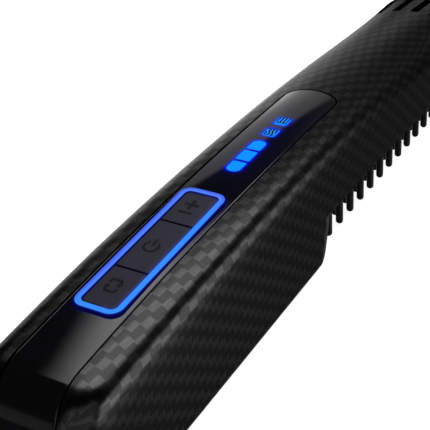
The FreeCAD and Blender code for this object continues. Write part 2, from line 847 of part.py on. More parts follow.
def vent_slots():
    sketch = free_sketch("vent_sketch", PLAN)
    bind(sketch, "Placement.Base.y", row(ZERO))
    bind(sketch, "Placement.Base.z", back_height(vent_start) - size.vent_depth)
    for side in VENT_SIDES:
        middle = side * size.vent_pitch
        rectangle(sketch, middle - size.vent_half_width, middle + size.vent_half_width,
                  vent_start, vent_start + size.vent_length, size.vent_corner)
    return prism("vent_slots", sketch, size.height)


def comb_seat():
    """Rebate in the head's rim that takes the comb frame."""
    sketch = head_frame.place(free_sketch("comb_seat_sketch", PLAN), ZERO, ZERO, -size.overrun)
    draw_comb_outline(sketch, size.fit)
    return prism("comb_seat", sketch, size.overrun + rim_frame_top)


def guide_slot():
    """Opening under the panel for the light guide's windows."""
    sketch = key_plane_sketch("guide_slot_sketch", -size.guide_top)
    half = size.bar_half_width + size.fit
    low = bar_start - size.ring_y - size.fit
    high = comb_icon_y - size.ring_y + size.icon_half_length + size.fit
    rectangle(sketch, -half, half, low, high)
    return prism("guide_slot", sketch, size.guide_top + size.overrun)


def main_housing():
    posts = []
    holes = []
    thread_hole = size.screw_radius + size.screw_fit
    small_hole = size.small_screw_radius + size.screw_fit
    boss_hole_top = size.screw_sunk + size.screw_length + size.screw_radius
    post_low = -size.board_top
    post_hole_top = post_low - size.board + size.small_screw_length + size.screw_fit
    for number, (x, y) in enumerate(boss_spots):
        posts.append(rod(f"boss_{number}", body_frame, size.boss_radius, x, y, (ZERO, size.boss_top)))
        holes.append(rod(f"boss_hole_{number}", body_frame, thread_hole, x, y, (ZERO, boss_hole_top)))
    for number, (x, y) in enumerate(post_spots):
        posts.append(rod(f"post_{number}", key_frame, size.post_radius, x, y, (post_low, size.overrun)))
        holes.append(rod(f"post_hole_{number}", key_frame, small_hole, x, y, (post_low, post_hole_top)))
    posts.append(rod("nose_boss", head_frame, size.nose_boss_radius, ZERO, nose_screw_y,
                     (rim_frame_top, size.height)))
    holes.append(rod("nose_hole", head_frame, thread_hole, ZERO, nose_screw_y,
                     (rim_frame_top, rim_frame_top + size.screw_length)))
    room = cut("room", hollow_form, [group("posts", posts)])
    recess = cut("recess", panel_region("recess_outline", size.fit), [panel_form])
    openings = [underside_cut(), vent_slots(), comb_seat(), guide_slot(), ring_hole, port_hole]
    return cut("housing", outer_form, [room, recess] + openings + [group("holes", holes)])


node(main_housing(), "main_housing")

# Base cover: flat underside that turns up into the step below the head

def screw_recesses():
    """Head recesses and shank holes of the base screws."""
    recesses = []
    shanks = []
    recess = size.screw_head_radius + size.fit
    shank = size.screw_radius + size.fit
    for number, (x, y) in enumerate(boss_spots):
        recesses.append(rod(f"recess_{number}", body_frame, recess, x, y, (-size.overrun, size.screw_sunk)))
        shanks.append(rod(f"shank_{number}", body_frame, shank, x, y, (-size.overrun, size.overrun)))
    return [group("recess_group", recesses), group("shank_group", shanks)]


def base_cover():
    sketch = free_sketch("cover_sketch", SIDE)
    bind(sketch, "Placement.Base.y", row(ZERO))
    outline(sketch, [(-size.overrun, ZERO), (step_y, ZERO, size.step_corner),
                     (rim_start, size.rim_height), (rim_start - size.step_wall, size.rim_height),
                     (seam_end, size.cover), (-size.overrun, size.cover)])
    strip = prism("cover_strip", sketch, 2 * (size.half_width + size.overrun), True)
    plate = common("cover_plate", outer_form, strip)
    stand_top = size.port_z - size.port_half_height - size.charge_board
    ribs = []
    for side in SIDES:
        middle = side * size.stand_x
        ribs.append(box(f"stand_{side + 1}", body_frame, (middle - size.stand_half, middle + size.stand_half),
                        (size.stand_start, size.stand_end), (size.cover / 2, stand_top)))
    return cut("cover_cut", fuse("cover_with_ribs", [plate] + ribs), screw_recesses())


node(base_cover(), "base_cover")

# Light ring: clear frame round the keys, held by a foot under the housing

def light_ring():
    body = new_body("light_ring", key_frame)
    half = size.ring_half_width
    length = size.ring_half_length
    foot_half = half + size.ring_foot
    foot_length = length + size.ring_foot
    inner_half = half - size.ring_band
    inner_length = length - size.ring_band
    low = -size.ring_depth
    pad(body, "ring_block", low, size.ring_rise,
        lambda sketch: rectangle(sketch, -half, half, -length, length, size.ring_corner))
    pad(body, "ring_base", low, low + size.ring_foot_height,
        lambda sketch: rectangle(sketch, -foot_half, foot_half, -foot_length, foot_length, size.ring_corner))
    inside = pocket(body, "ring_inside", low, size.ring_rise,
                    lambda sketch: rectangle(sketch, -inner_half, inner_half, -inner_length, inner_length,
                                             size.ring_corner - size.ring_band))
    round_edges(body, "ring_rounding", inside, size.ring_rise, size.ring_edge)
    return body


node(light_ring(), "light_ring")

# Keys: caps in the ring, each with a flange that the ring holds down and a post on its switch

key_inner = size.ring_half_length - size.ring_band - size.fit
low_split = size.mode_key_length - size.ring_half_length
high_split = size.ring_half_length - size.level_key_length
half_split = size.key_split / 2
end_corner = size.ring_corner - size.ring_band - size.fit
KEYS = (
    ("mode", -key_inner, low_split - half_split, end_corner, size.key_edge),
    ("power", low_split + half_split, high_split - half_split, size.key_edge, size.key_edge),
    ("level", high_split + half_split, key_inner, size.key_edge, end_corner),
)
switch_top = size.switch_height - size.board_top
plunger_top = switch_top + size.plunger_out
flange_top = -size.ring_depth - size.key_play
flange_low = flange_top - size.key_flange


def key_cap(name, low, high, low_corner, high_corner):
    body = new_body(f"{name}_key", key_frame)
    half = size.ring_half_width - size.ring_band - size.fit
    flange_half = half + size.key_flange_reach
    middle = (low + high) / 2
    cap = pad(body, f"{name}_cap", flange_top, size.key_rise,
              lambda sketch: outline(sketch, [(-half, low, low_corner), (half, low, low_corner),
                                              (half, high, high_corner), (-half, high, high_corner)]))
    cap = round_edges(body, f"{name}_rounding", cap, size.key_rise, size.key_edge)
    pad(body, f"{name}_flange", flange_low, flange_top,
        lambda sketch: rectangle(sketch, -flange_half, flange_half, low, high))
    pad(body, f"{name}_stem", plunger_top, flange_low,
        lambda sketch: circle(sketch, ZERO, middle, size.stem_radius))
    return body


switches = []
for name, low, high, low_corner, high_corner in KEYS:
    node(key_cap(name, low, high, low_corner, high_corner), f"{name}_key")
    middle = (low + high) / 2
    node(rod(f"{name}_plunger_rod", key_frame, size.plunger_radius, ZERO, middle,
             (switch_top - size.plunger_sunk, plunger_top)), f"{name}_plunger")
    block = box(f"{name}_switch_block", key_frame, (-size.switch_half, size.switch_half),
                (middle - size.switch_half, middle + size.switch_half), (-size.board_top, switch_top))
    bore_floor = switch_top - size.plunger_sunk - size.key_travel - size.press_room
    bore = rod(f"{name}_switch_bore", key_frame, size.plunger_radius + size.plunger_fit, ZERO, middle,
               (bore_floor, size.overrun))
    switches.append(cut(f"{name}_switch", block, [bore]))
node(group("switch_group", switches), "push_switches")

# Indicator light guide: windows flush with the panel on a common base with two legs

def light_guide():
    low = bar_start - size.ring_y - size.guide_reach
    high = guide_end - size.ring_y
    half = size.guide_half_width
    base_low = -size.guide_top - size.guide_height
    base = box("guide_base", key_frame, (-half, half), (low, high), (base_low, -size.guide_top))
    near_leg = box("guide_near_leg", key_frame, (-half, half), (low, low + size.guide_leg),
                   (-size.board_top, base_low))
    far_leg = box("guide_far_leg", key_frame, (-half, half), (high - size.guide_leg, high),
                  (-size.board_top, base_low))
    windows = common("guide_windows", outer_form, window_prism("guide_window_block", ZERO))
    return fuse("guide", [base, near_leg, far_leg, windows])


node(light_guide(), "indicator_light_guide")

# Main board with its parts

def main_board():
    body = new_body("main_board", key_frame)
    half = size.board_half_width
    low = board_start - size.ring_y
    high = board_end - size.ring_y
    pad(body, "board_plate", -size.board_top - size.board, -size.board_top,
        lambda sketch: rectangle(sketch, -half, half, low, high, size.board_corner))

    def holes(sketch):
        for x, y in post_spots:
            circle(sketch, x, y, size.small_screw_radius + size.fit)

    pocket(body, "board_holes", -size.board_top - size.board, -size.board_top, holes)
    return body


def light_sources():
    band = size.ring_half_width - size.ring_band / 2
    spread = size.ring_half_length * LIGHT_SHARE
    spots = [(side * band, place * spread) for side in SIDES for place in (-1, 0, 1)]
    for number in range(3):
        low, high = bar_bounds(number)
        spots.append((ZERO, (low + high) / 2))
    for middle in (heat_icon_y, comb_icon_y):
        spots.append((ZERO, middle - size.ring_y))
    sources = []
    for number, (x, y) in enumerate(spots):
        sources.append(box(f"light_{number}", key_frame, (x - size.led_half, x + size.led_half),
                           (y - size.led_half, y + size.led_half),
                           (-size.board_top, size.led_height - size.board_top)))
    return group("light_group", sources)


def board_components():
    """Controller, boost coil and heater driver under the board."""
    top = -size.board_top - size.board
    kinds = (("controller", size.chip_y, size.chip_half, size.chip_height),
             ("coil", size.coil_y, size.coil_half, size.coil_height),
             ("driver", size.driver_y, size.chip_half, size.chip_height))
    blocks = []
    for name, place, half, height in kinds:
        y = place - size.ring_y
        blocks.append(box(f"{name}_block", key_frame, (-half, half), (y - half, y + half),
                          (top - height, top)))
    return group("component_group", blocks)


def screw(name, frame, x, y, seat, head_radius, head, radius, length, upward):
    """A pan-head screw whose head sits on a seat; upward points the thread up."""
    head_span = (seat - head, seat) if upward else (seat, seat + head)
    thread_span = (seat - head / 2, seat + length) if upward else (seat - length, seat + head / 2)
    face = head_span[0] if upward else head_span[1]
    cross_span = (face - size.overrun, face + size.cross_depth)
    if not upward:
        cross_span = (face - size.cross_depth, face + size.overrun)
    reach = head_radius * CROSS_SHARE
    half = size.cross_half
    bars = [
        box(f"{name}_bar_across", frame, (x - reach, x + reach), (y - half, y + half), cross_span),
        box(f"{name}_bar_along", frame, (x - half, x + half), (y - reach, y + reach), cross_span),
    ]
    solid = fuse(f"{name}_blank", [rod(f"{name}_head", frame, head_radius, x, y, head_span),
                                   rod(f"{name}_thread", frame, radius, x, y, thread_span)])
    return cut(name, solid, bars)


node(main_board(), "main_board")
node(light_sources(), "light_sources")
node(board_components(), "board_components")
board_low = -size.board_top - size.board
board_screws = [screw(f"board_screw_{number}", key_frame, x, y, board_low, size.small_head_radius,
                      size.small_head, size.small_screw_radius, size.small_screw_length, True)
                for number, (x, y) in enumerate(post_spots)]
node(group("board_screw_group", board_screws), "board_screws")
base_screws = [screw(f"base_screw_{number}", body_frame, x, y, size.screw_sunk, size.screw_head_radius,
                     size.screw_head, size.screw_radius, size.screw_length, True)
               for number, (x, y) in enumerate(boss_spots)]
node(group("base_screw_group", base_screws), "base_screws")

# Battery cell in its cradle, with contact strips and leads

def battery_cell():
    can_span = (size.cell_start, cell_end)
    button_span = (cell_end, button_end)
    can = lying_rod("cell_can", body_frame, cell_radius, ZERO, can_span, cell_z)
    button = lying_rod("cell_button", body_frame, size.cell_button_radius, ZERO, button_span, cell_z)
    return fuse("cell", [can, button])


def battery_cradle():
    half = cell_radius + size.cradle_side
    block = box("cradle_block", body_frame, (-half, half),
                (trough_start - size.cradle_end, trough_end + size.cradle_end),
                (size.cover, cell_z - size.cradle_drop))
    trough_span = (trough_start, trough_end)
    trough = lying_rod("cradle_trough", body_frame, cell_radius + size.cell_fit, ZERO, trough_span, cell_z)
    return cut("cradle", block, [trough])


tab_high = cell_z + cell_radius + size.tab_rise


def battery_contacts():
    strips = []
    for name, y in (("near", size.cell_start - size.tab), ("far", button_end)):
        strips.append(box(f"{name}_strip", body_frame, (-size.tab_half_width, size.tab_half_width),
                          (y, y + size.tab), (cell_z - size.tab_drop, tab_high)))
    return group("strip_group", strips)


def battery_leads():
    """Short upright leads from the strips to just under the board."""
    leads = []
    places = (("near", size.cell_start - size.tab - size.lead_radius),
              ("far", button_end + size.tab + size.lead_radius))
    for name, y in places:
        board_z = back_height(size.ring_y) + board_low + (y - size.ring_y) * slope
        leads.append(rod(f"{name}_lead", body_frame, size.lead_radius, ZERO, y,
                         (tab_high - size.lead_joint, board_z - size.fit)))
    return group("battery_lead_group", leads)


node(battery_cell(), "battery_cell")
node(battery_cradle(), "battery_cradle")
node(battery_contacts(), "battery_contacts")
node(battery_leads(), "battery_leads")

# Charging port and its board

port_end = size.port_start + size.port_length
port_floor = port_end - size.port_back
port_case = port_prism("port_case", ZERO, (size.port_start, port_end))
port_mouth = port_prism("port_mouth", -size.port_shell, (size.port_start - size.overrun, port_floor))
node(cut("port", port_case, [port_mouth]), "port_shell")
node(box("tongue", body_frame, (-size.tongue_half_width, size.tongue_half_width),
         (port_floor - size.tongue_length, port_floor),
         (size.port_z - size.tongue_half_height, size.port_z + size.tongue_half_height)), "port_tongue")
charge_top = size.port_z - size.port_half_height
node(box("charge_plate", body_frame, (-size.charge_half_width, size.charge_half_width),
         (size.charge_start, size.charge_end), (charge_top - size.charge_board, charge_top)),
     "charging_board")

# Comb frame: plastic frame round the heater with two staggered bristle rows on each side

def pin_spots(x, shift_share, first, last):
    """Places of one row of bristles or teeth along the comb."""
    steps = [number + shift_share for number in range(first, last)]
    return [(x, size.pin_start + pin_pitch * step) for step in steps]


bristle_spots = []
for side in SIDES:
    bristle_spots += pin_spots(side * size.pin_x, 0, 0, PIN_COUNT)
    bristle_spots += pin_spots(side * (size.pin_x - size.pin_row), STAGGER_SHARE, 0, PIN_COUNT - 1)
tooth_spots = pin_spots(ZERO, STAGGER_SHARE, 1, PIN_COUNT - 2)
for side in SIDES:
    tooth_spots += pin_spots(side * size.tooth_row, 0, 1, PIN_COUNT - 1)
plate_low = size.pin_start + pin_pitch - size.heater_margin
plate_high = size.pin_start + pin_pitch * (PIN_COUNT - 2) + size.heater_margin
flange_top_up = rim_frame_top + size.heater_flange
clamp_low = flange_top_up + size.ceramic + size.mica
ear_places = (plate_low + size.ear_inset, plate_high - size.ear_inset)
ear_spots = [(side * size.ear_post_x, y) for side in SIDES for y in ear_places]


def draw_circles(spots, radius):
    def draw(sketch):
        for x, y in spots:
            circle(sketch, x, y, radius)
    return draw


def comb_frame():
    body = new_body("comb_frame", head_frame)
    pad(body, "frame_plate", size.frame_sunk, rim_frame_top, lambda sketch: draw_comb_outline(sketch, ZERO))
    tongue = size.frame_tongue_half_width
    pad(body, "frame_tongue", size.frame_sunk, rim_frame_top,
        lambda sketch: rectangle(sketch, -tongue, tongue, -size.frame_tongue, size.frame_tongue))
    window = size.heater_half_width + size.heater_fit
    pocket(body, "frame_window", size.frame_sunk, rim_frame_top,
           lambda sketch: rectangle(sketch, -window, window, plate_low - size.heater_fit,
                                    plate_high + size.heater_fit))
    pad(body, "clamp_posts", rim_frame_top - size.frame / 2, clamp_low,
        draw_circles(ear_spots, size.ear_post_radius))
    pocket(body, "clamp_post_holes", size.frame_sunk + size.frame / 2, clamp_low,
           draw_circles(ear_spots, size.small_screw_radius + size.screw_fit))
    nose_spot = [(ZERO, nose_screw_y)]
    pocket(body, "nose_screw_hole", size.frame_sunk, rim_frame_top,
           draw_circles(nose_spot, size.screw_radius + size.fit))
    pocket(body, "nose_screw_recess", size.frame_sunk, size.frame_sunk + size.screw_sunk,
           draw_circles(nose_spot, size.screw_head_radius + size.fit))
    pins = pad(body, "bristles", -size.pin_length, size.frame_sunk + size.frame / 2,
               draw_circles(bristle_spots, size.pin_radius))
    round_edges(body, "bristle_tips", pins, -size.pin_length, size.pin_radius * TIP_SHARE)
    return body


def heater_comb():
    body = new_body("heater_comb", head_frame)
    half = size.heater_half_width
    wide = half + size.heater_flange_reach
    low = -size.heater_proud
    pad(body, "heater_plate", low, rim_frame_top,
        lambda sketch: rectangle(sketch, -half, half, plate_low, plate_high))
    pad(body, "heater_flange", rim_frame_top, flange_top_up,
        lambda sketch: rectangle(sketch, -wide, wide, plate_low - size.heater_flange_reach,
                                 plate_high + size.heater_flange_reach))
    teeth = pad(body, "heated_teeth", -size.tooth_length, low + size.heater_flange,
                draw_circles(tooth_spots, size.tooth_radius))
    round_edges(body, "tooth_tips", teeth, -size.tooth_length, size.tooth_radius * TIP_SHARE)
    return body


node(comb_frame(), "comb_frame")
node(heater_comb(), "heater_comb")

# Heater stack above the comb

ceramic_span = (plate_low + size.ceramic_margin, plate_high - size.ceramic_margin)
mica_span = (plate_low + size.mica_margin, plate_high - size.mica_margin)
node(box("ceramic_bar", head_frame, (-size.ceramic_half_width, size.ceramic_half_width), ceramic_span,
         (flange_top_up, flange_top_up + size.ceramic)), "ceramic_heater")
node(box("mica_sheet", head_frame, (-size.clamp_half_width, size.clamp_half_width), mica_span,
         (flange_top_up + size.ceramic, clamp_low)), "insulating_sheet")


def heater_clamp():
    body = new_body("heater_clamp", head_frame)
    half = size.clamp_half_width
    top = clamp_low + size.clamp
    pad(body, "clamp_plate", clamp_low, top,
        lambda sketch: rectangle(sketch, -half, half, mica_span[0] + size.mica_margin,
                                 mica_span[1] - size.mica_margin))
    for number, y in enumerate(ear_places):
        pad(body, f"clamp_ears_{number}", clamp_low, top,
            lambda sketch: rectangle(sketch, -size.clamp_ear, size.clamp_ear, y - size.clamp_ear_half,
                                     y + size.clamp_ear_half))
    pocket(body, "clamp_holes", clamp_low, top, draw_circles(ear_spots, size.small_screw_radius + size.fit))
    return body


node(heater_clamp(), "heater_clamp")
heater_screws = [screw(f"heater_screw_{number}", head_frame, x, y, clamp_low + size.clamp,
                       size.small_head_radius, size.small_head, size.small_screw_radius,
                       size.small_screw_length, False)
                 for number, (x, y) in enumerate(ear_spots)]
node(group("heater_screw_group", heater_screws), "heater_screws")
node(screw("nose_screw", head_frame, ZERO, nose_screw_y, size.frame_sunk + size.screw_sunk,
           size.screw_head_radius, size.screw_head, size.screw_radius, size.screw_length, True), "comb_screw")
sensor_y = plate_low + size.sensor_place
node(box("sensor_bead", head_frame, (-size.sensor_half, size.sensor_half),
         (sensor_y - size.sensor_half, sensor_y + size.sensor_half),
         (flange_top_up, flange_top_up + size.sensor_height)), "temperature_sensor")
fuse_start = plate_low + size.fuse_place
node(lying_rod("fuse_can", head_frame, size.fuse_radius, ZERO, (fuse_start, fuse_start + size.fuse_length),
               clamp_low + size.clamp + size.fuse_radius), "thermal_fuse")

# Heater leads: along the heater plate, then up to the board

def heater_lead(name, x):
    body = new_body(name, head_frame)
    planes = {plane.Role: plane for plane in body.Origin.OriginFeatures}
    height = flange_top_up + size.ceramic / 2
    start = ceramic_span[0] - size.fit
    turn = -size.frame_tongue - size.lead_bend
    board_z = back_height(size.ring_y) + board_low + (rim_start + turn - size.ring_y) * slope
    end = board_z - size.rim_height - size.frame
    path = body.newObject("Sketcher::SketchObject", f"{name}_path")
    path.AttachmentSupport = [(planes["YZ_Plane"], "")]
    path.MapMode = "FlatFace"
    bind(path, "AttachmentOffset.Base.z", x)
    spots = (flat(start.value, height.value), flat(turn.value, height.value), flat(turn.value, end.value))
    bend = size.lead_bend.value
    centre = flat(turn.value + bend, height.value + bend)
    path.addGeometry(line(spots[0], flat(centre.x, spots[0].y)), False)
    path.addGeometry(arc(centre, bend, math.pi, math.pi + math.pi / 2), False)
    path.addGeometry(line(flat(spots[1].x, centre.y), spots[2]), False)
    path.addConstraint(Rule("Tangent", 0, 2, 1, 2))
    path.addConstraint(Rule("Tangent", 1, 1, 2, 1))
    path.addConstraint(Rule("Horizontal", 0))
    path.addConstraint(Rule("Vertical", 2))
    pin_point(path, 0, 1, start, height)
    pin_point(path, 2, 2, turn, end)
    dimension(path, Rule("Radius", 1, bend), size.lead_bend)
    round_sketch = body.newObject("Sketcher::SketchObject", f"{name}_round")
    round_sketch.AttachmentSupport = [(planes["XZ_Plane"], "")]
    round_sketch.MapMode = "FlatFace"
    bind(round_sketch, "AttachmentOffset.Base.z", -start)
    circle(round_sketch, x, height, size.lead_radius)
    pipe = body.newObject("PartDesign::AdditivePipe", f"{name}_pipe")
    pipe.Profile = round_sketch
    pipe.Spine = (path, ["Edge1", "Edge2", "Edge3"])
    return body


heater_leads = [heater_lead(f"heater_lead_{side + 1}", side * size.lead_x) for side in SIDES]
node(group("heater_lead_group", heater_leads), "heater_leads")

# Check and write every sub-part

doc.recompute()
for thing in doc.Objects:
    if "Invalid" in thing.State or "Error" in thing.State:
        raise RuntimeError(f"{thing.Label} did not build: {thing.State}")
os.makedirs("parts", exist_ok=True)
for thing in nodes:
    if thing.Shape.isNull() or not thing.Shape.isValid():
        raise RuntimeError(f"{thing.Label} has no valid shape")
    thing.Shape.exportStep(f"parts/{thing.Label}.step")
    print(thing.Label, len(thing.Shape.Solids), "solids")
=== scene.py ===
import math

import bpy
from mathutils import Matrix, Vector


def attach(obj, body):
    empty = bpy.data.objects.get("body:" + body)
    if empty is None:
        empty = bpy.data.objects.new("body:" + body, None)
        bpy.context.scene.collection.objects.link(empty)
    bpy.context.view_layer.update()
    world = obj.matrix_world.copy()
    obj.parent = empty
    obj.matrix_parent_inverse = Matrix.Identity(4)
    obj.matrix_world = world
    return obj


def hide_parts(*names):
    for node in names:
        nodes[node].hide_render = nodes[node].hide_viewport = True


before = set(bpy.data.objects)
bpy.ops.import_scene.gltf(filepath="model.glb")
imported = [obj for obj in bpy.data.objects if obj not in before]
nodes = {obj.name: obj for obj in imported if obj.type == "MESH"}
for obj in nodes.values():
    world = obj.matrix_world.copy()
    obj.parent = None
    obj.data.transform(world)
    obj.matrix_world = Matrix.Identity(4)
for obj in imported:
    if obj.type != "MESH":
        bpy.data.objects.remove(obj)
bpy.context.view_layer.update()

# Sizes in mm. Places along the body are measured from the butt end.
MM = 0.001

# Outer form
LENGTH = 222
HALF_WIDTH = 15
HEIGHT = 35
ARCH_Y = 85.8
ARCH_RADIUS = 1062
CROWN_START = 46
CROWN_FLAT_RADIUS = 370
CROWN_ROUND_RADIUS = 19
SHOULDER_SMALL = 5.4
SHOULDER_LARGE = 6.4
END_SHOULDER_SHARE = 0.5
HEAD_FLAT_START = 160
HEAD_FLAT_END = 210
HEAD_CROWN_RADIUS = 40
HEAD_SHOULDER = 4.5
BASE_EDGE = 1.2
BUTT_RADIUS = 9.5
BUTT_SIDE_RADIUS = 8
NOSE_RADIUS = 8
NOSE_SIDE_RADIUS = 6.5
BASE_RADIUS = 1.5
WALL = 2.2
OVERRUN = 5
FIT = 0.15

# Base cover, and the step from it up to the head
SEAM = 0.16
COVER = 1.6
SCREW_X = 10.65
SCREW_ROWS = (14, 92.65)
SCREW_HEAD_RADIUS = 2.05
SCREW_SUNK = 0.9
STEP_Y = 100.65
STEP_LEAN = 3.65
STEP_WALL = 1.7
STEP_CORNER = 5.5
RIM_HEIGHT = 11.5
SHELL_RIM_HEIGHT = 13.7
SHELL_RIM_FALL = math.radians(2.9)
DROOP = math.radians(1.6)

# Control panel, and the ring and keys in it
PANEL_HALF_WIDTH = 7.5
PANEL_TIP = 129.2
PANEL_TIP_RADIUS = 13
PANEL_CORNER = 4.2
PANEL_THICKNESS = 1.2
PANEL_FOOT = 6
PANEL_GAP = 0.2
RECESS_GAP = 0.22
PANEL_EDGE = 0.26
PANEL_SIDE_STEP = 5
PANEL_SIDE_COUNT = 22
RING_Y = 48.3
RING_HALF_WIDTH = 5.95
RING_HALF_LENGTH = 23.3
RING_CORNER = 3
RING_BAND = 1.6
RING_RISE = 0.5
KEY_RISE = 0.3

# Light bar, symbol windows and charging port
BAR_START = 82.2
BAR_LENGTH = 16
BAR_HALF_WIDTH = 2.05
BAR_GAP = 0.55
BAR_CORNER = 0.5
BAR_COUNT = 3
BAR_END_SHARE = 0.9
ICON_PLACES = (102.9, 109.2)
ICON_HALF_WIDTH = 1.9
ICON_HALF_LENGTH = 2.1
ICON_CORNER = 0.8
WINDOW_FIT = 0.04
PORT_Z = 15
PORT_HALF_WIDTH = 4.47
PORT_HALF_HEIGHT = 1.63
PORT_CORNER = 1.5

# Vents and comb seat
VENT_START = 198
VENT_LENGTH = 14
VENT_HALF_WIDTH = 1.3
VENT_CORNER = 0.6
VENT_PITCH = 6
VENT_DEPTH = 8.4
VENT_SIDES = (-2, -1, 0, 1, 2)
LIP = 1
FRAME_CORNER = 7
FRAME_TOP = 2.4

# Fineness of the modelled skins
END_STEPS = 22
TRUNK_STEPS = 110
CORNER_STEPS = 8
WALL_STEPS = 6
CROWN_STEPS = 18
ROUND_STEPS = 8
EDGE_STEPS = 2
CIRCLE_STEPS = 24
SHARP = math.radians(28)
EDGE_SHARP = math.radians(20)


def back_height(y):
    """Height of the arched back on the centre line."""
    return HEIGHT - (y - ARCH_Y) ** 2 / (2 * ARCH_RADIUS)


# Places worked out from the sizes
NOSE_START = LENGTH - NOSE_RADIUS
RIM_START = STEP_Y + STEP_LEAN
SEAM_END = STEP_Y - STEP_WALL + STEP_LEAN * COVER / RIM_HEIGHT
BAR_SEGMENT = (BAR_LENGTH - (BAR_COUNT - 1) * BAR_GAP) / BAR_COUNT
BAR_END_RADIUS = BAR_HALF_WIDTH * BAR_END_SHARE
SCREW_SPOTS = [(x, y) for y in SCREW_ROWS for x in (-SCREW_X, SCREW_X)]

# Planes that outlines are drawn in: along the keys, along the comb's rim, from the side and from the end
KEY_TIP = math.atan((ARCH_Y - RING_Y) / ARCH_RADIUS)
KEY_PLACE = Matrix.Translation((0, RING_Y, back_height(RING_Y))) @ Matrix.Rotation(KEY_TIP, 4, "X")
HEAD_PLACE = Matrix.Translation((0, RIM_START, RIM_HEIGHT)) @ Matrix.Rotation(-DROOP, 4, "X")
SIDE_PLACE = Matrix(((0, 0, 1, 0), (1, 0, 0, 0), (0, 1, 0, 0), (0, 0, 0, 1)))
ACROSS_PLACE = Matrix(((1, 0, 0, 0), (0, 0, -1, 0), (0, 1, 0, 0), (0, 0, 0, 1)))

# From mm measured from the butt end to the frame's metres
TO_FRAME = Matrix.Scale(MM, 4) @ Matrix.Translation((0, -LENGTH / 2, 0))


# Mesh helpers

def new_piece(name, points, faces, place=Matrix()):
    """A mesh object from points in mm, measured from the butt end."""
    mesh = bpy.data.meshes.new(name)
    mesh.from_pydata([TO_FRAME @ place @ Vector(point) for point in points], [], faces)
    mesh.validate()
    mesh.update()
    piece = bpy.data.objects.new(name, mesh)
    bpy.context.scene.collection.objects.link(piece)
    return piece


def stack(name, levels, place=Matrix(), flipped=False):
    """A solid through closed rings of equal count; flipped turns its faces the other way round."""
    count = len(levels[0])
    points = [point for level in levels for point in level]
    faces = [tuple(reversed(range(count))), tuple(range(len(points) - count, len(points)))]
    for ring in range(len(levels) - 1):
        first = ring * count
        for index in range(count):
            after = (index + 1) % count
            faces.append((first + index, first + after, first + count + after, first + count + index))
    if flipped:
        faces = [tuple(reversed(face)) for face in faces]
    return new_piece(name, points, faces, place)


def prism(name, outline, low, high, place=Matrix()):
    """A closed outline drawn out between two heights of its own plane."""
    return stack(name, [[(x, y, z) for x, y in outline] for z in (low, high)], place)


def carve(piece, tool, operation="DIFFERENCE"):
    """Applies one boolean step and removes the tool."""
    step = piece.modifiers.new("carve", "BOOLEAN")
    step.object = tool
    step.operation = operation
    step.solver = "EXACT"
    seen = piece.evaluated_get(bpy.context.evaluated_depsgraph_get())
    mesh = bpy.data.meshes.new_from_object(seen)
    piece.modifiers.clear()
    piece.data = mesh
    bpy.data.objects.remove(tool)


def smooth(piece, sharp=SHARP):
    """Smooth shading with sharp edges kept."""
    piece.data.shade_smooth()
    piece.data.set_sharp_from_angle(angle=sharp)


def dress(piece, finish):
    """Gives a piece one finish in place of what it had."""
    piece.data.materials.clear()
    piece.data.materials.append(finish)


def rounded(corners):
    """A closed counter-clockwise outline; a corner with a third number is rounded by that radius."""
    outline = []
    count = len(corners)
    for index, corner in enumerate(corners):
        spot = Vector(corner[:2])
        if len(corner) == 2:
            outline.append(tuple(spot))
            continue
        before = (Vector(corners[index - 1][:2]) - spot).normalized()
        after = (Vector(corners[(index + 1) % count][:2]) - spot).normalized()
        half = before.angle(after) / 2
        middle = spot + (before + after).normalized() * (corner[2] / math.sin(half))
        first = spot + before * (corner[2] / math.tan(half)) - middle
        last = spot + after * (corner[2] / math.tan(half)) - middle
        sweep = first.angle_signed(last)
        for step in range(ROUND_STEPS + 1):
            spoke = first.copy()
            spoke.rotate(Matrix.Rotation(-sweep * step / ROUND_STEPS, 2))
            outline.append(tuple(middle + spoke))
    return outline


def rectangle(left, right, low, high, radius=None):
    corners = ((left, low), (right, low), (right, high), (left, high))
    if radius:
        corners = [(x, y, radius) for x, y in corners]
    return rounded(corners)


def disc(x, y, radius):
    turns = [2 * math.pi * step / CIRCLE_STEPS for step in range(CIRCLE_STEPS)]
    return [(x + radius * math.cos(turn), y + radius * math.sin(turn)) for turn in turns]


# Outer form

def arched(half, top, crown, corner):
    """Right half of an outline's arched end: a corner arc, then a crown arc that stops before the middle."""
    side = half - corner
    side_top = top - crown + math.sqrt((crown - corner) ** 2 - side ** 2)
    lean = math.asin(side / (crown - corner))
    points = []
    for step in range(CORNER_STEPS + 1):
        turn = (math.pi / 2 - lean) * step / CORNER_STEPS
        points.append((side + corner * math.cos(turn), side_top + corner * math.sin(turn)))
    for step in range(1, CROWN_STEPS):
        turn = lean * (1 - step / CROWN_STEPS)
        points.append((crown * math.sin(turn), top - crown + crown * math.cos(turn)))
    return points


def end_share(y, inset):
    """How far an end's rounding has closed, none on the trunk and all at the end, and the end's radii."""
    if y < BUTT_RADIUS:
        reach = (BUTT_RADIUS - y) / (BUTT_RADIUS - inset)
        return 1 - math.sqrt(max(1 - reach * reach, 0)), BUTT_RADIUS, BUTT_SIDE_RADIUS
    reach = max(y - NOSE_START, 0) / (NOSE_RADIUS - inset)
    return 1 - math.sqrt(max(1 - reach * reach, 0)), NOSE_RADIUS, NOSE_SIDE_RADIUS


def crown_share(y):
    """How far the back has rounded over at one place."""
    share = (y - CROWN_START) / (NOSE_START - CROWN_START)
    return min(max(share, 0), 1)


def head_share(y):
    """How far the head has flattened again at one place."""
    share = min(max((y - HEAD_FLAT_START) / (HEAD_FLAT_END - HEAD_FLAT_START), 0), 1)
    return share * share


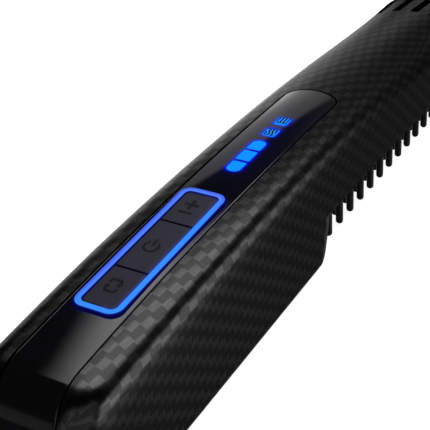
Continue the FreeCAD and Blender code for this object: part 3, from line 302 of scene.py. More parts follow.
def crown_bend(y):
    """Bend of the back across the body: nearly flat over the grip, rounder ahead, flatter by the vents."""
    flat = 1 / CROWN_FLAT_RADIUS
    bend = flat + crown_share(y) * (1 / CROWN_ROUND_RADIUS - flat)
    return bend + head_share(y) * (1 / HEAD_CROWN_RADIUS - bend)


def shoulder_radius(y):
    """Rounding between the back and the wall."""
    radius = SHOULDER_SMALL + crown_share(y) * (SHOULDER_LARGE - SHOULDER_SMALL)
    return radius + head_share(y) * (HEAD_SHOULDER - radius)


def section(y, inset, low):
    """One cross section, from the middle of the underside round to it again."""
    share, radius, side_radius = end_share(y, inset)
    half = HALF_WIDTH - inset - (side_radius - inset) * share
    top = back_height(y) - inset - (radius - inset) * share
    bottom = low + BASE_RADIUS * share
    crown = 1 / crown_bend(y) - inset
    shoulder = (shoulder_radius(y) - inset) * (1 - END_SHOULDER_SHARE * share)
    back = arched(half, top, crown, shoulder)
    _, wall_top = back[0]
    wall_low = bottom + BASE_EDGE
    right = []
    for step in range(CORNER_STEPS // 2 + 1):
        turn = math.pi / CORNER_STEPS * step
        right.append((half - BASE_EDGE + BASE_EDGE * math.sin(turn), wall_low - BASE_EDGE * math.cos(turn)))
    for step in range(1, WALL_STEPS):
        right.append((half, wall_low + (wall_top - wall_low) * step / WALL_STEPS))
    right += back
    left = [(-x, z) for x, z in reversed(right)]
    return [(0, bottom)] + right + [(0, top)] + left


def form(name, inset, low):
    """The whole outer shape, set in all round by one distance, with its underside at one height."""
    places = []
    for step in range(END_STEPS):
        turn = math.pi / 2 * step / END_STEPS
        places.append(BUTT_RADIUS - (BUTT_RADIUS - inset) * math.cos(turn))
    for step in range(TRUNK_STEPS + 1):
        places.append(BUTT_RADIUS + (NOSE_START - BUTT_RADIUS) * step / TRUNK_STEPS)
    for step in range(1, END_STEPS + 1):
        turn = math.pi / 2 * step / END_STEPS
        places.append(NOSE_START + (NOSE_RADIUS - inset) * math.sin(turn))
    return stack(name, [[(x, y, z) for x, z in section(y, inset, low)] for y in places], flipped=True)


# Openings shared by the housing and the panel

def panel_outline(gap):
    """The panel's outline seen from above, from the butt round the tip and back."""
    half = PANEL_HALF_WIDTH + gap
    tip = PANEL_TIP + gap
    right = [(half, -OVERRUN)]
    for step in range(ROUND_STEPS + 1):
        right.append((half, BUTT_RADIUS - BUTT_RADIUS * math.cos(math.pi / 2 * step / ROUND_STEPS)))
    for step in range(1, PANEL_SIDE_COUNT + 1):
        right.append((half, BUTT_RADIUS + PANEL_SIDE_STEP * step))
    right += arched(half, tip, PANEL_TIP_RADIUS + gap, PANEL_CORNER + gap)
    return right + [(0, tip)] + [(-x, y) for x, y in reversed(right)]


def skin_height(x, y):
    """Height of the outer skin over one place of the back."""
    share, radius, _ = end_share(max(y, 0), 0)
    crown = 1 / crown_bend(max(y, 0))
    return back_height(y) - radius * share - crown + math.sqrt(crown ** 2 - x ** 2)


def panel_region(gap, edge=0):
    """Upright block over everything inside the panel's outline, its upper edge rounded if one is given."""
    outline = panel_outline(gap)
    levels = [[(x, y, PANEL_FOOT - gap) for x, y in outline]]
    if edge:
        for step in range(EDGE_STEPS + 1):
            turn = math.pi / 2 * step / EDGE_STEPS
            inset = edge - edge * math.cos(turn)
            depth = edge - edge * math.sin(turn)
            levels.append([(x, y, skin_height(x, y) - depth) for x, y in panel_outline(gap - inset)])
        outline = panel_outline(gap - edge)
    levels.append([(x, y, HEIGHT + OVERRUN) for x, y in outline])
    return stack("panel_region", levels)


def ring_hole(gap):
    outline = rectangle(-RING_HALF_WIDTH - gap, RING_HALF_WIDTH + gap, -RING_HALF_LENGTH - gap,
                        RING_HALF_LENGTH + gap, RING_CORNER + gap)
    return prism("ring_hole", outline, -OVERRUN, OVERRUN, KEY_PLACE)


def port_hole():
    outline = rectangle(-PORT_HALF_WIDTH - FIT, PORT_HALF_WIDTH + FIT, PORT_Z - PORT_HALF_HEIGHT - FIT,
                        PORT_Z + PORT_HALF_HEIGHT + FIT, PORT_CORNER + FIT)
    return prism("port_hole", outline, -OVERRUN, OVERRUN, ACROSS_PLACE)


def window_outlines(gap):
    """The bar's segments and the symbol windows, in the keys' plane."""
    outlines = []
    half = BAR_HALF_WIDTH + gap
    for number in range(BAR_COUNT):
        near = BAR_END_RADIUS if number == 0 else BAR_CORNER
        far = BAR_END_RADIUS if number == BAR_COUNT - 1 else BAR_CORNER
        low = BAR_START - RING_Y + (BAR_SEGMENT + BAR_GAP) * number - gap
        high = low + BAR_SEGMENT + 2 * gap
        corners = ((-half, low, near), (half, low, near), (half, high, far), (-half, high, far))
        outlines.append(rounded(corners))
    for place in ICON_PLACES:
        low = place - RING_Y - ICON_HALF_LENGTH - gap
        high = place - RING_Y + ICON_HALF_LENGTH + gap
        outlines.append(rectangle(-ICON_HALF_WIDTH - gap, ICON_HALF_WIDTH + gap, low, high, ICON_CORNER))
    return outlines


# Main housing

def main_housing():
    housing = form("housing_skin", 0, 0)
    carve(housing, form("hollow", WALL, COVER / 2))
    recess = panel_region(RECESS_GAP)
    carve(recess, form("recess_floor", PANEL_THICKNESS, PANEL_THICKNESS))
    carve(housing, recess)
    far = LENGTH + OVERRUN
    far_rim = SHELL_RIM_HEIGHT - (far - RIM_START) * math.tan(SHELL_RIM_FALL)
    underside = ((-OVERRUN, -OVERRUN), (far, -OVERRUN), (far, far_rim), (RIM_START, SHELL_RIM_HEIGHT),
                 (RIM_START - STEP_WALL, SHELL_RIM_HEIGHT), (RIM_START - STEP_WALL, RIM_HEIGHT),
                 (SEAM_END, COVER), (-OVERRUN, COVER))
    carve(housing, prism("underside", underside, -HALF_WIDTH - OVERRUN, HALF_WIDTH + OVERRUN, SIDE_PLACE))
    half = HALF_WIDTH - LIP
    far_seat = LENGTH - RIM_START - LIP
    seat = ((-half, -FIT), (half, -FIT), (half, far_seat, FRAME_CORNER), (-half, far_seat, FRAME_CORNER))
    carve(housing, prism("comb_seat", rounded(seat), -OVERRUN, FRAME_TOP, HEAD_PLACE))
    low = back_height(VENT_START) - VENT_DEPTH
    for side in VENT_SIDES:
        middle = side * VENT_PITCH
        slot = rectangle(middle - VENT_HALF_WIDTH, middle + VENT_HALF_WIDTH, VENT_START,
                         VENT_START + VENT_LENGTH, VENT_CORNER)
        carve(housing, prism("vent", slot, low, HEIGHT))
    carve(housing, ring_hole(FIT))
    carve(housing, port_hole())
    smooth(housing)
    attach(housing, "straightener_body")
    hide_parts("main_housing")
    return housing


# Base cover

def base_cover():
    cover = form("cover_skin", 0, 0)
    seam = COVER - SEAM
    strip = rounded(((-OVERRUN, -FIT), (STEP_Y, 0, STEP_CORNER), (RIM_START, RIM_HEIGHT),
                     (RIM_START, SHELL_RIM_HEIGHT - SEAM), (RIM_START - STEP_WALL, SHELL_RIM_HEIGHT - SEAM),
                     (RIM_START - STEP_WALL, RIM_HEIGHT), (SEAM_END, seam), (-OVERRUN, seam)))
    keep = prism("strip", strip, -HALF_WIDTH - OVERRUN, HALF_WIDTH + OVERRUN, SIDE_PLACE)
    carve(cover, keep, "INTERSECT")
    for x, y in SCREW_SPOTS:
        carve(cover, prism("recess", disc(x, y, SCREW_HEAD_RADIUS), -OVERRUN, SCREW_SUNK))
        carve(cover, prism("shank", disc(x, y, SCREW_HEAD_RADIUS / 2), -OVERRUN, OVERRUN))
    smooth(cover)
    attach(cover, "straightener_body")
    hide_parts("base_cover")
    return cover


# Control panel

def control_panel():
    panel = form("panel_skin", 0, 0)
    carve(panel, panel_region(-PANEL_GAP, PANEL_EDGE), "INTERSECT")
    carve(panel, form("panel_back", PANEL_THICKNESS, PANEL_THICKNESS))
    carve(panel, ring_hole(FIT))
    carve(panel, port_hole())
    for outline in window_outlines(WINDOW_FIT):
        carve(panel, prism("window", outline, -OVERRUN, OVERRUN, KEY_PLACE))
    smooth(panel, EDGE_SHARP)
    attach(panel, "straightener_body")
    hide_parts("control_panel")
    return panel


housing = main_housing()
cover = base_cover()
panel = control_panel()


# Printed symbols: thin plates on the keys and over the symbol windows

PRINT_LOW = -0.02
PRINT_HIGH = 0.03


def ring_arc(radius, band, first, last):
    """Outline of a curved band, angles in degrees."""
    sweep = last - first
    turns = [math.radians(first + sweep * step / CIRCLE_STEPS) for step in range(CIRCLE_STEPS + 1)]
    sides = []
    for edge in (radius + band / 2, radius - band / 2):
        sides.append([(edge * math.cos(turn), edge * math.sin(turn)) for turn in turns])
    outer, inner = sides
    return outer + inner[::-1]


def path_sides(points, band):
    """Right and left side of a band of even width along a path."""
    right = []
    left = []
    for index, point in enumerate(points):
        here = Vector(point)
        before = Vector(points[max(index - 1, 0)])
        after = Vector(points[min(index + 1, len(points) - 1)])
        along = (after - before).normalized()
        across = Vector((along.y, -along.x)) * band / 2
        right.append(tuple(here + across))
        left.append(tuple(here - across))
    return right, left


def path_band(points, band):
    right, left = path_sides(points, band)
    return right + left[::-1]


def arrow(points, band, head_half_width, head_length):
    """Outline of a band along a path that ends in an arrow head."""
    right, left = path_sides(points, band)
    end = Vector(points[-1])
    along = (end - Vector(points[-2])).normalized()
    across = Vector((along.y, -along.x)) * head_half_width
    head = [tuple(end + across), tuple(end + along * head_length), tuple(end - across)]
    return right + head + left[::-1]


def moved(outline, x, y):
    return [(u + x, v + y) for u, v in outline]


def turned(outline):
    return [(-u, -v) for u, v in outline]


def print_symbol(name, outlines, low, high, body, finish):
    """One printed symbol as a piece of thin plates in the keys' plane."""
    parts = [prism(name, outline, low, high, KEY_PLACE) for outline in outlines]
    bpy.ops.object.select_all(action="DESELECT")
    for part in parts:
        part.select_set(True)
    bpy.context.view_layer.objects.active = parts[0]
    if len(parts) > 1:
        bpy.ops.object.join()
    parts[0].name = name
    dress(parts[0], finish)
    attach(parts[0], body)


# Materials

def wire(tree, socket, value):
    """Feeds a socket from another socket, or sets it."""
    if isinstance(value, bpy.types.NodeSocket):
        tree.links.new(value, socket)
    elif isinstance(value, tuple) and len(value) == 3 and socket.type == "RGBA":
        socket.default_value = (*value, 1)
    else:
        socket.default_value = value


class Nodes:
    """A node tree, built step by step."""

    def __init__(self, tree):
        self.tree = tree

    def add(self, kind, inputs, output=0, **options):
        """Adds a node with its inputs by name or number and gives one of its outputs."""
        node = self.tree.nodes.new(kind)
        for option, value in options.items():
            setattr(node, option, value)
        for key, value in inputs.items():
            wire(self.tree, node.inputs[key], value)
        return node.outputs[output]

    def apart(self, vector):
        """The three parts of a vector."""
        split = self.tree.nodes.new("ShaderNodeSeparateXYZ")
        wire(self.tree, split.inputs[0], vector)
        return split.outputs[0], split.outputs[1], split.outputs[2]

    def math(self, operation, *values):
        return self.add("ShaderNodeMath", dict(enumerate(values)), operation=operation)

    def joined(self, operation, values):
        """Values joined one after another by one operation."""
        result = values[0]
        for value in values[1:]:
            result = self.math(operation, result, value)
        return result

    def total(self, values):
        return self.joined("ADD", values)

    def product(self, *values):
        return self.joined("MULTIPLY", values)

    def least(self, values):
        return self.joined("MINIMUM", values)

    def mix(self, share, first, second):
        return self.add("ShaderNodeMix", {0: share, 6: first, 7: second}, 2, data_type="RGBA")

    def blend(self, value, low, high, first=0.0, last=1.0):
        """A soft step from first to last as a value goes from low to high."""
        inputs = {"Value": value, "From Min": low, "From Max": high, "To Min": first, "To Max": last}
        return self.add("ShaderNodeMapRange", inputs, interpolation_type="SMOOTHSTEP")

    def band(self, value, edges):
        """One between the two middle edges, fading to nothing at the outer ones."""
        first, full, fading, last = edges
        return self.product(self.blend(value, first, full), self.blend(value, fading, last, 1.0, 0.0))

    def fall(self, distance, rate):
        """Fades out with distance, by so much per mm."""
        return self.math("EXPONENT", self.math("MULTIPLY", self.math("MAXIMUM", distance, 0.0), -rate))


class Paint(Nodes):
    """One material."""

    def __init__(self, name, **settings):
        self.material = bpy.data.materials.new(name)
        self.material.use_nodes = True
        super().__init__(self.material.node_tree)
        self.shader = next(node for node in self.tree.nodes if node.type == "BSDF_PRINCIPLED")
        for key, value in settings.items():
            self.set(key.replace("_", " ").title().replace("Ior", "IOR"), value)

    def set(self, socket, value):
        wire(self.tree, self.shader.inputs[socket], value)

    def noise(self, scale, detail=2.0, stretch=(1, 1, 1)):
        spread = self.add("ShaderNodeMapping", {"Vector": self.coords(), "Scale": stretch})
        return self.add("ShaderNodeTexNoise", {"Vector": spread, "Scale": scale, "Detail": detail})

    def coords(self):
        return self.add("ShaderNodeTexCoord", {}, "Object")

    def place(self):
        """Crosswise place, place from the butt end and height, in mm."""
        x, y, z = [self.math("MULTIPLY", part, 1 / MM) for part in self.apart(self.coords())]
        return x, self.math("ADD", y, LENGTH / 2), z

    def bump(self, height, strength, depth):
        """Surface relief of one depth in mm."""
        inputs = {"Height": height, "Strength": strength, "Distance": depth * MM}
        self.set("Normal", self.add("ShaderNodeBump", inputs))


# Grain of the finishes: noise scales per metre, and the stretch of the noise that each change runs over
GRAIN = 900.0
FINE_GRAIN = 1500.0
METAL_GRAIN = 1200.0
GLOSS_GRAIN = 700.0
LIT_GRAIN = 500.0
GRAIN_DETAIL = 4.0
CLOUD_DETAIL = 3.0
GRAIN_RANGE = (0.25, 0.75)
CLOUD_RANGE = (0.3, 0.7)
GRAIN_DEPTH = 0.02
PRINT_DEPTH = 0.002
GRAIN_BUMP_SHARE = 0.3
COLOUR_SPREAD_SHARE = 0.25
ROUGHNESS_SHARES = (0.85, 1.15)


def plain(name, colour, roughness, metallic=0.0, grain=GRAIN, depth=GRAIN_DEPTH, **settings):
    """A finish with fine grain in its colour, gloss and surface."""
    paint = Paint(name, metallic=metallic, **settings)
    noise = paint.noise(grain, GRAIN_DETAIL)
    dark = tuple(channel * (1 - COLOUR_SPREAD_SHARE) for channel in colour)
    light = tuple(min(channel * (1 + COLOUR_SPREAD_SHARE), 1) for channel in colour)
    paint.set("Base Color", paint.mix(noise, dark, light))
    least, most = [roughness * share for share in ROUGHNESS_SHARES]
    paint.set("Roughness", paint.blend(noise, *GRAIN_RANGE, least, most))
    paint.bump(noise, GRAIN_BUMP_SHARE, depth)
    return paint.material


# Satin-like weave: each lengthwise tow lies over two crosswise tows in five, two further on from tow to tow
TOW_WIDTH = 1.86
PICK = 1.4
REPEAT = 5
FLOAT_PICKS = 2.15
TOW_SHIFT = 2
FLOAT_EDGE_PICKS = 0.05
WEAVE_SLANT_SHARE = 0.104
START_TOWS = 0.6
START_PICKS = 0.5
TOW_DARK = (0.033, 0.033, 0.034)
TOW_LIGHT = (0.062, 0.062, 0.063)
TOW_EDGE_TINT = (0.5, 0.5, 0.5)
TOW_ROUGHNESS = (0.21, 0.25)
CROSSWISE_STRETCH = (0.15, 4, 1)
LENGTHWISE_STRETCH = (4, 0.15, 4)
STREAK_TONE_SHARE = 0.7
STREAK_SHARES = (0.0, 0.4)
WEAVE_DEPTH = 0.03
WEAVE_BUMP_SHARE = 0.12
COAT_SHARE = 0.05
COAT_ROUGHNESS = 0.06
CROWN_HALF_WIDTH = HALF_WIDTH - SHOULDER_SMALL


def way_round(paint, x, y, z):
    """Length over the skin from the centre line, along the crown, the shoulder and down the wall."""
    away = paint.math("SUBTRACT", y, ARCH_Y)
    sag = paint.product(away, away, 1 / (2 * ARCH_RADIUS))
    over = paint.math("ADD", paint.math("SUBTRACT", z, HEIGHT - SHOULDER_SMALL), sag)
    beside = paint.math("ABSOLUTE", x)
    out = paint.math("MAXIMUM", paint.math("SUBTRACT", beside, CROWN_HALF_WIDTH), 0.0)
    bend = paint.math("ARCTAN2", out, paint.math("MAXIMUM", over, 0.0))
    down = paint.math("MAXIMUM", paint.math("MULTIPLY", over, -1.0), 0.0)
    flat = paint.math("MINIMUM", beside, CROWN_HALF_WIDTH)
    length = paint.total([flat, paint.math("MULTIPLY", bend, SHOULDER_SMALL), down])
    return paint.product(length, paint.math("SIGN", x))


def carbon_weave():
    """Flat tows under a clear coat."""
    paint = Paint("carbon_weave", metallic=1.0, coat_weight=COAT_SHARE, coat_roughness=COAT_ROUGHNESS,
                  specular_tint=TOW_EDGE_TINT)
    x, y, z = paint.place()
    around = way_round(paint, x, y, z)
    across = paint.math("SUBTRACT", around, paint.math("MULTIPLY", y, WEAVE_SLANT_SHARE))
    along = paint.math("ADD", y, paint.math("MULTIPLY", around, WEAVE_SLANT_SHARE))
    column = paint.math("ADD", paint.math("DIVIDE", across, TOW_WIDTH), START_TOWS)
    pick = paint.math("ADD", paint.math("DIVIDE", along, PICK), START_PICKS)
    number = paint.math("FLOOR", column)
    column_share = paint.math("SUBTRACT", column, number)
    shifted = paint.math("SUBTRACT", pick, paint.math("MULTIPLY", number, float(TOW_SHIFT)))
    phase = paint.math("FLOORED_MODULO", shifted, float(REPEAT))
    lifted = paint.blend(phase, FLOAT_PICKS, FLOAT_PICKS + FLOAT_EDGE_PICKS, 1.0, 0.0)
    pick_share = paint.math("SUBTRACT", pick, paint.math("FLOOR", pick))
    float_share = paint.math("MINIMUM", paint.math("DIVIDE", phase, FLOAT_PICKS), 1.0)

    def swell(share):
        """Rounded height over a tow, one in its middle and nothing at its borders."""
        return paint.product(share, paint.math("SUBTRACT", 1.0, share), 4.0)

    lengthwise = paint.product(swell(column_share), swell(float_share))
    height = paint.add("ShaderNodeMix", {0: lifted, 2: 0.0, 3: lengthwise})
    crosswise_fibres = paint.noise(GRAIN, CLOUD_DETAIL, CROSSWISE_STRETCH)
    lengthwise_fibres = paint.noise(GRAIN, CLOUD_DETAIL, LENGTHWISE_STRETCH)
    fibres = paint.add("ShaderNodeMix", {0: lifted, 2: crosswise_fibres, 3: lengthwise_fibres})
    tone = paint.mix(lifted, TOW_DARK, TOW_LIGHT)
    streak = tuple(channel * STREAK_TONE_SHARE for channel in TOW_DARK)
    paint.set("Base Color", paint.mix(paint.blend(fibres, *CLOUD_RANGE, *STREAK_SHARES), tone, streak))
    paint.set("Roughness", paint.blend(pick_share, 0.0, 1.0, *TOW_ROUGHNESS))
    paint.bump(height, WEAVE_BUMP_SHARE, WEAVE_DEPTH)
    return paint.material


# Colours of the panel, the keys and their light, and how far in mm or how fast per mm the light fades
AZURE = (0.004, 0.283, 1.0)
PALE_AZURE = (0.02, 0.32, 1.0)
SYMBOL_AZURE = (0.05, 0.27, 1.0)
RING_NEAR = (0.045, 0.265, 1.0)
RING_FAR_INNER = (0.10, 0.22, 0.93)
RING_FAR_OUTER = (0.07, 0.125, 0.87)
DEEP_BLUE = (0.006, 0.010, 0.30)
GLOW = (0.0, 0.0, 0.8)
# Wide faint glow painted on the panel round the windows and the ring
WIDE_GLOW = (0.0005, 0.0005, 0.016)
DARK = (0, 0, 0)
LIT_TONES = ((0.001, 0.002, 0.01), (0.002, 0.004, 0.02))
PANEL_TONES = ((0.002, 0.002, 0.0025), (0.004, 0.004, 0.005))
PANEL_ROUGHNESS = (0.03, 0.05)
KEY_TONES = ((0.0045, 0.0045, 0.012), (0.007, 0.007, 0.018))
KEY_ROUGHNESS = (0.4, 0.5)
# Light from the ring painted on the keys as glow: faint blue all over, and stronger beside the ring
KEY_FAINT_GLOW = (0.001, 0.0005, 0.006)
KEY_GLOW = (0.03, 0.045, 0.4)
KEY_GLOW_FADE = (0.0, 2.0)
GLOW_FALL = 3.4
WIDE_GLOW_FALL = 0.25
RING_HALO_SHARE = 0.16
RING_WIDE_GLOW_SHARE = 0.3
RING_CLOUD_SHARES = (0.0, 0.15)
RING_SLANT_SHARE = RING_HALF_WIDTH / RING_HALF_LENGTH
RING_INNER_FADE = (0.4, 1.1)
RING_SIDE_FADE = (-2.0, 2.0)
WINDOW_CLOUD_SHARES = (0.0, 0.2)
WINDOW_EDGE_FADE = (-0.3, -0.05)
UPWARD_SHARES = (0.6, 0.9)
LIT_EDGE = 0.2
SIDE_FALL = 3


def box_distance(paint, x, y, middle, half_width, half_length, corner):
    """Distance outside a rounded rectangle, less than zero inside it, in mm."""
    along = paint.math("ABSOLUTE", paint.math("SUBTRACT", y, middle))
    over_x = paint.math("SUBTRACT", paint.math("ABSOLUTE", x), half_width - corner)
    over_y = paint.math("SUBTRACT", along, half_length - corner)
    out_x = paint.math("MAXIMUM", over_x, 0.0)
    out_y = paint.math("MAXIMUM", over_y, 0.0)
    squares = paint.math("ADD", paint.product(out_x, out_x), paint.product(out_y, out_y))
    outside = paint.math("SQRT", squares)
    inside = paint.math("MINIMUM", paint.math("MAXIMUM", over_x, over_y), 0.0)
    return paint.math("SUBTRACT", paint.math("ADD", outside, inside), corner)


def ring_distance(paint, x, y):
    return box_distance(paint, x, y, RING_Y, RING_HALF_WIDTH, RING_HALF_LENGTH, RING_CORNER)


def window_distance(paint, x, y):
    """Distance outside the nearest lit window."""
    segments = []
    for number in range(BAR_COUNT):
        middle = BAR_START + BAR_SEGMENT / 2 + (BAR_SEGMENT + BAR_GAP) * number
        segments.append(box_distance(paint, x, y, middle, BAR_HALF_WIDTH, BAR_SEGMENT / 2, BAR_CORNER))
    half = BAR_LENGTH / 2
    whole = box_distance(paint, x, y, BAR_START + half, BAR_HALF_WIDTH, half, BAR_END_RADIUS)
    windows = [paint.math("MAXIMUM", paint.least(segments), whole)]
    for place in ICON_PLACES:
        windows.append(box_distance(paint, x, y, place, ICON_HALF_WIDTH, ICON_HALF_LENGTH, ICON_CORNER))
    return paint.least(windows)


def gloss_panel():
    """Deep gloss black, with a painted glow where the lights bleed into it round their windows."""
    paint = Paint("gloss_panel", emission_strength=1.0)
    x, y, _ = paint.place()
    ring = ring_distance(paint, x, y)
    window = window_distance(paint, x, y)
    # Painted light: a near glow and a wide faint glow round the windows and the ring
    halo = paint.math("MAXIMUM", paint.fall(window, GLOW_FALL),
                      paint.product(paint.fall(ring, GLOW_FALL), RING_HALO_SHARE))
    wide_glow = paint.math("MAXIMUM", paint.fall(window, WIDE_GLOW_FALL),
                      paint.product(paint.fall(ring, WIDE_GLOW_FALL), RING_WIDE_GLOW_SHARE))
    cloud = paint.noise(GLOSS_GRAIN, CLOUD_DETAIL)
    paint.set("Base Color", paint.mix(cloud, *PANEL_TONES))
    paint.set("Roughness", paint.blend(cloud, *CLOUD_RANGE, *PANEL_ROUGHNESS))
    paint.set("Emission Color", paint.mix(halo, paint.mix(wide_glow, DARK, WIDE_GLOW), GLOW))
    return paint.material


def lit_paint(name, roughness, detail=2.0):
    """A clear moulding lit from inside, nearly black by itself, and the cloud in it."""
    paint = Paint(name, roughness=roughness, emission_strength=1.0, specular_ior_level=0.0)
    cloud = paint.noise(LIT_GRAIN, detail)
    paint.set("Base Color", paint.mix(cloud, *LIT_TONES))
    return paint, cloud


def lit_ring():
    """Frame lit from below: azure on the near and right sides, violet elsewhere, fading down its walls."""
    paint, cloud = lit_paint("lit_ring", roughness=0.3, detail=CLOUD_DETAIL)
    x, y, z = paint.place()
    inside = paint.math("MULTIPLY", ring_distance(paint, x, y), -1.0)
    from_middle = paint.math("SUBTRACT", y, RING_Y)
    side = paint.math("SUBTRACT", x, paint.math("MULTIPLY", from_middle, RING_SLANT_SHARE))
    far = paint.mix(paint.blend(inside, *RING_INNER_FADE), RING_FAR_OUTER, RING_FAR_INNER)
    lit = paint.mix(paint.blend(side, *RING_SIDE_FADE), far, RING_NEAR)
    normal = paint.add("ShaderNodeNewGeometry", {}, "Normal")
    upward = paint.blend(paint.apart(normal)[2], *UPWARD_SHARES)
    core = paint.product(upward, paint.band(inside, (0.0, LIT_EDGE, RING_BAND - LIT_EDGE, RING_BAND)))
    clouded = paint.mix(paint.blend(cloud, *CLOUD_RANGE, *RING_CLOUD_SHARES), lit, AZURE)
    slope = paint.math("MULTIPLY", from_middle, math.tan(KEY_TIP))
    below = paint.math("SUBTRACT", paint.math("ADD", slope, back_height(RING_Y) + RING_RISE), z)
    fringe = paint.mix(paint.fall(below, SIDE_FALL), DARK, DEEP_BLUE)
    paint.set("Emission Color", paint.mix(core, fringe, clouded))
    return paint.material


def lit_window():
    """Light guide windows: even azure, deep blue at their borders."""
    paint, cloud = lit_paint("lit_window", roughness=0.2)
    x, y, _ = paint.place()
    core = paint.blend(window_distance(paint, x, y), *WINDOW_EDGE_FADE, 1.0, 0.0)
    lit = paint.mix(paint.blend(cloud, *CLOUD_RANGE, *WINDOW_CLOUD_SHARES), AZURE, PALE_AZURE)
    paint.set("Emission Color", paint.mix(core, GLOW, lit))
    return paint.material


def lit_symbol():
    """Lit strokes of the window symbols."""
    paint, cloud = lit_paint("lit_symbol", roughness=0.2)
    paint.set("Emission Color", paint.mix(cloud, AZURE, SYMBOL_AZURE))
    return paint.material


def key_finish():
    """Matt grey keys, with the ring's light on them painted as glow: faint all over, stronger beside the
    ring on its right.
    """
    paint = Paint("key_grey", emission_strength=1.0, specular_ior_level=0.16)
    x, y, _ = paint.place()
    inside = paint.math("MULTIPLY", ring_distance(paint, x, y), -1.0)
    beside = paint.fall(paint.math("SUBTRACT", inside, RING_BAND), GLOW_FALL)
    right = paint.blend(x, *KEY_GLOW_FADE)
    grain = paint.noise(FINE_GRAIN, GRAIN_DETAIL)
    paint.set("Base Color", paint.mix(grain, *KEY_TONES))
    paint.set("Roughness", paint.blend(grain, *GRAIN_RANGE, *KEY_ROUGHNESS))
    # Painted light from the ring: a faint blue glow all over, and a stronger glow beside the ring, more to
    # the right
    paint.set("Emission Color", paint.mix(paint.product(beside, right), KEY_FAINT_GLOW, KEY_GLOW))
    paint.bump(grain, GRAIN_BUMP_SHARE, GRAIN_DEPTH)
    return paint.material


# Finishes of the pieces. Each row of the table has a finish's name, colour, roughness and metal share.
INNER_FINISHES = {
    "port_tongue": ("tongue_black", (0.01, 0.01, 0.01), 0.4, 0.0),
    "main_board": ("board_green", (0.01, 0.07, 0.03), 0.35, 0.0),
    "charging_board": ("charging_green", (0.01, 0.06, 0.035), 0.35, 0.0),
    "board_components": ("component_black", (0.02, 0.02, 0.02), 0.5, 0.0),
    "push_switches": ("switch_metal", (0.4, 0.4, 0.4), 0.35, 0.8),
    "light_sources": ("lamp_white", (0.75, 0.75, 0.7), 0.4, 0.0),
    "battery_cell": ("cell_wrap", (0.02, 0.12, 0.2), 0.3, 0.0),
    "battery_cradle": ("cradle_black", (0.02, 0.02, 0.02), 0.5, 0.0),
    "battery_contacts": ("nickel", (0.6, 0.58, 0.52), 0.3, 1.0),
    "battery_leads": ("lead_red", (0.3, 0.01, 0.01), 0.4, 0.0),
    "heater_leads": ("lead_white", (0.6, 0.6, 0.58), 0.5, 0.0),
    "ceramic_heater": ("ceramic_white", (0.75, 0.73, 0.68), 0.5, 0.0),
    "insulating_sheet": ("mica", (0.35, 0.28, 0.2), 0.35, 0.0),
    "heater_clamp": ("clamp_steel", (0.4, 0.4, 0.4), 0.35, 1.0),
    "temperature_sensor": ("sensor_glass", (0.25, 0.1, 0.04), 0.2, 0.0),
    "thermal_fuse": ("fuse_metal", (0.5, 0.5, 0.48), 0.3, 1.0),
}
cover_black = plain("cover_black", (0.007, 0.007, 0.0075), 0.42, specular_ior_level=0.2)
bristle_black = plain("bristle_black", (0.004, 0.004, 0.0045), 0.5, specular_ior_level=0.12)
symbol_dark = plain("symbol_dark", (0.0015, 0.0015, 0.005), 0.6, grain=FINE_GRAIN, specular_ior_level=0.1)
symbol_glow = lit_symbol()
gloss_print = plain("gloss_print", (0.002, 0.002, 0.006), 0.06, grain=GLOSS_GRAIN, depth=PRINT_DEPTH)
heater_metal = plain("heater_metal", (0.09, 0.08, 0.075), 0.4, metallic=0.6, grain=METAL_GRAIN)
port_steel = plain("port_steel", (0.55, 0.55, 0.56), 0.25, metallic=1.0, grain=FINE_GRAIN)
screw_steel = plain("screw_steel", (0.45, 0.45, 0.46), 0.3, metallic=1.0, grain=METAL_GRAIN)
key_grey = key_finish()

for piece, finish in ((housing, carbon_weave()), (cover, cover_black), (panel, gloss_panel())):
    dress(piece, finish)
dress(nodes["light_ring"], lit_ring())
dress(nodes["indicator_light_guide"], lit_window())
dress(nodes["comb_frame"], bristle_black)
dress(nodes["heater_comb"], heater_metal)
dress(nodes["port_shell"], port_steel)
for name in ("base_screws", "comb_screw", "board_screws", "heater_screws"):
    dress(nodes[name], screw_steel)
for name in ("mode", "power", "level"):
    dress(nodes[f"{name}_key"], key_grey)
    dress(nodes[f"{name}_plunger"], key_grey)
for name, values in INNER_FINISHES.items():
    dress(nodes[name], plain(*values))


# Symbols on the keys: power, level up and down, change of mode

MARK_X = -0.5
KEY_LOW = KEY_RISE + PRINT_LOW
KEY_HIGH = KEY_RISE + PRINT_HIGH
POWER_Y = -0.1
POWER_RADIUS = 1.75
POWER_STROKE = 0.62
POWER_HALF_OPENING = 34
STRAIGHT_UP = 90
FULL_TURN = 360
POWER_BAR = (0.4, 2.8)
POWER_BAR_HALF_WIDTH = 0.36
LEVEL_REACH = 1.8
LEVEL_HALF_STROKE = 0.43
PLUS_Y = 17.1
MINUS_Y = 13.9
MODE_Y = -14.8
MODE_PATH = ((-1.4, 0.8), (-1.4, 1.5), (-1.25, 1.82), (-0.9, 1.95),
             (0.7, 1.95), (1.05, 1.82), (1.2, 1.5), (1.2, 0.75))
MODE_STROKE = 0.7
MODE_HEAD_HALF_WIDTH = 0.85
MODE_HEAD_LENGTH = 1.1


def power_mark():
    """A bar in the opening of a ring."""
    first = STRAIGHT_UP + POWER_HALF_OPENING
    last = STRAIGHT_UP + FULL_TURN - POWER_HALF_OPENING
    arc = ring_arc(POWER_RADIUS, POWER_STROKE, first, last)
    bar = rectangle(-POWER_BAR_HALF_WIDTH, POWER_BAR_HALF_WIDTH, *POWER_BAR)
    return [moved(outline, MARK_X, POWER_Y) for outline in (arc, bar)]


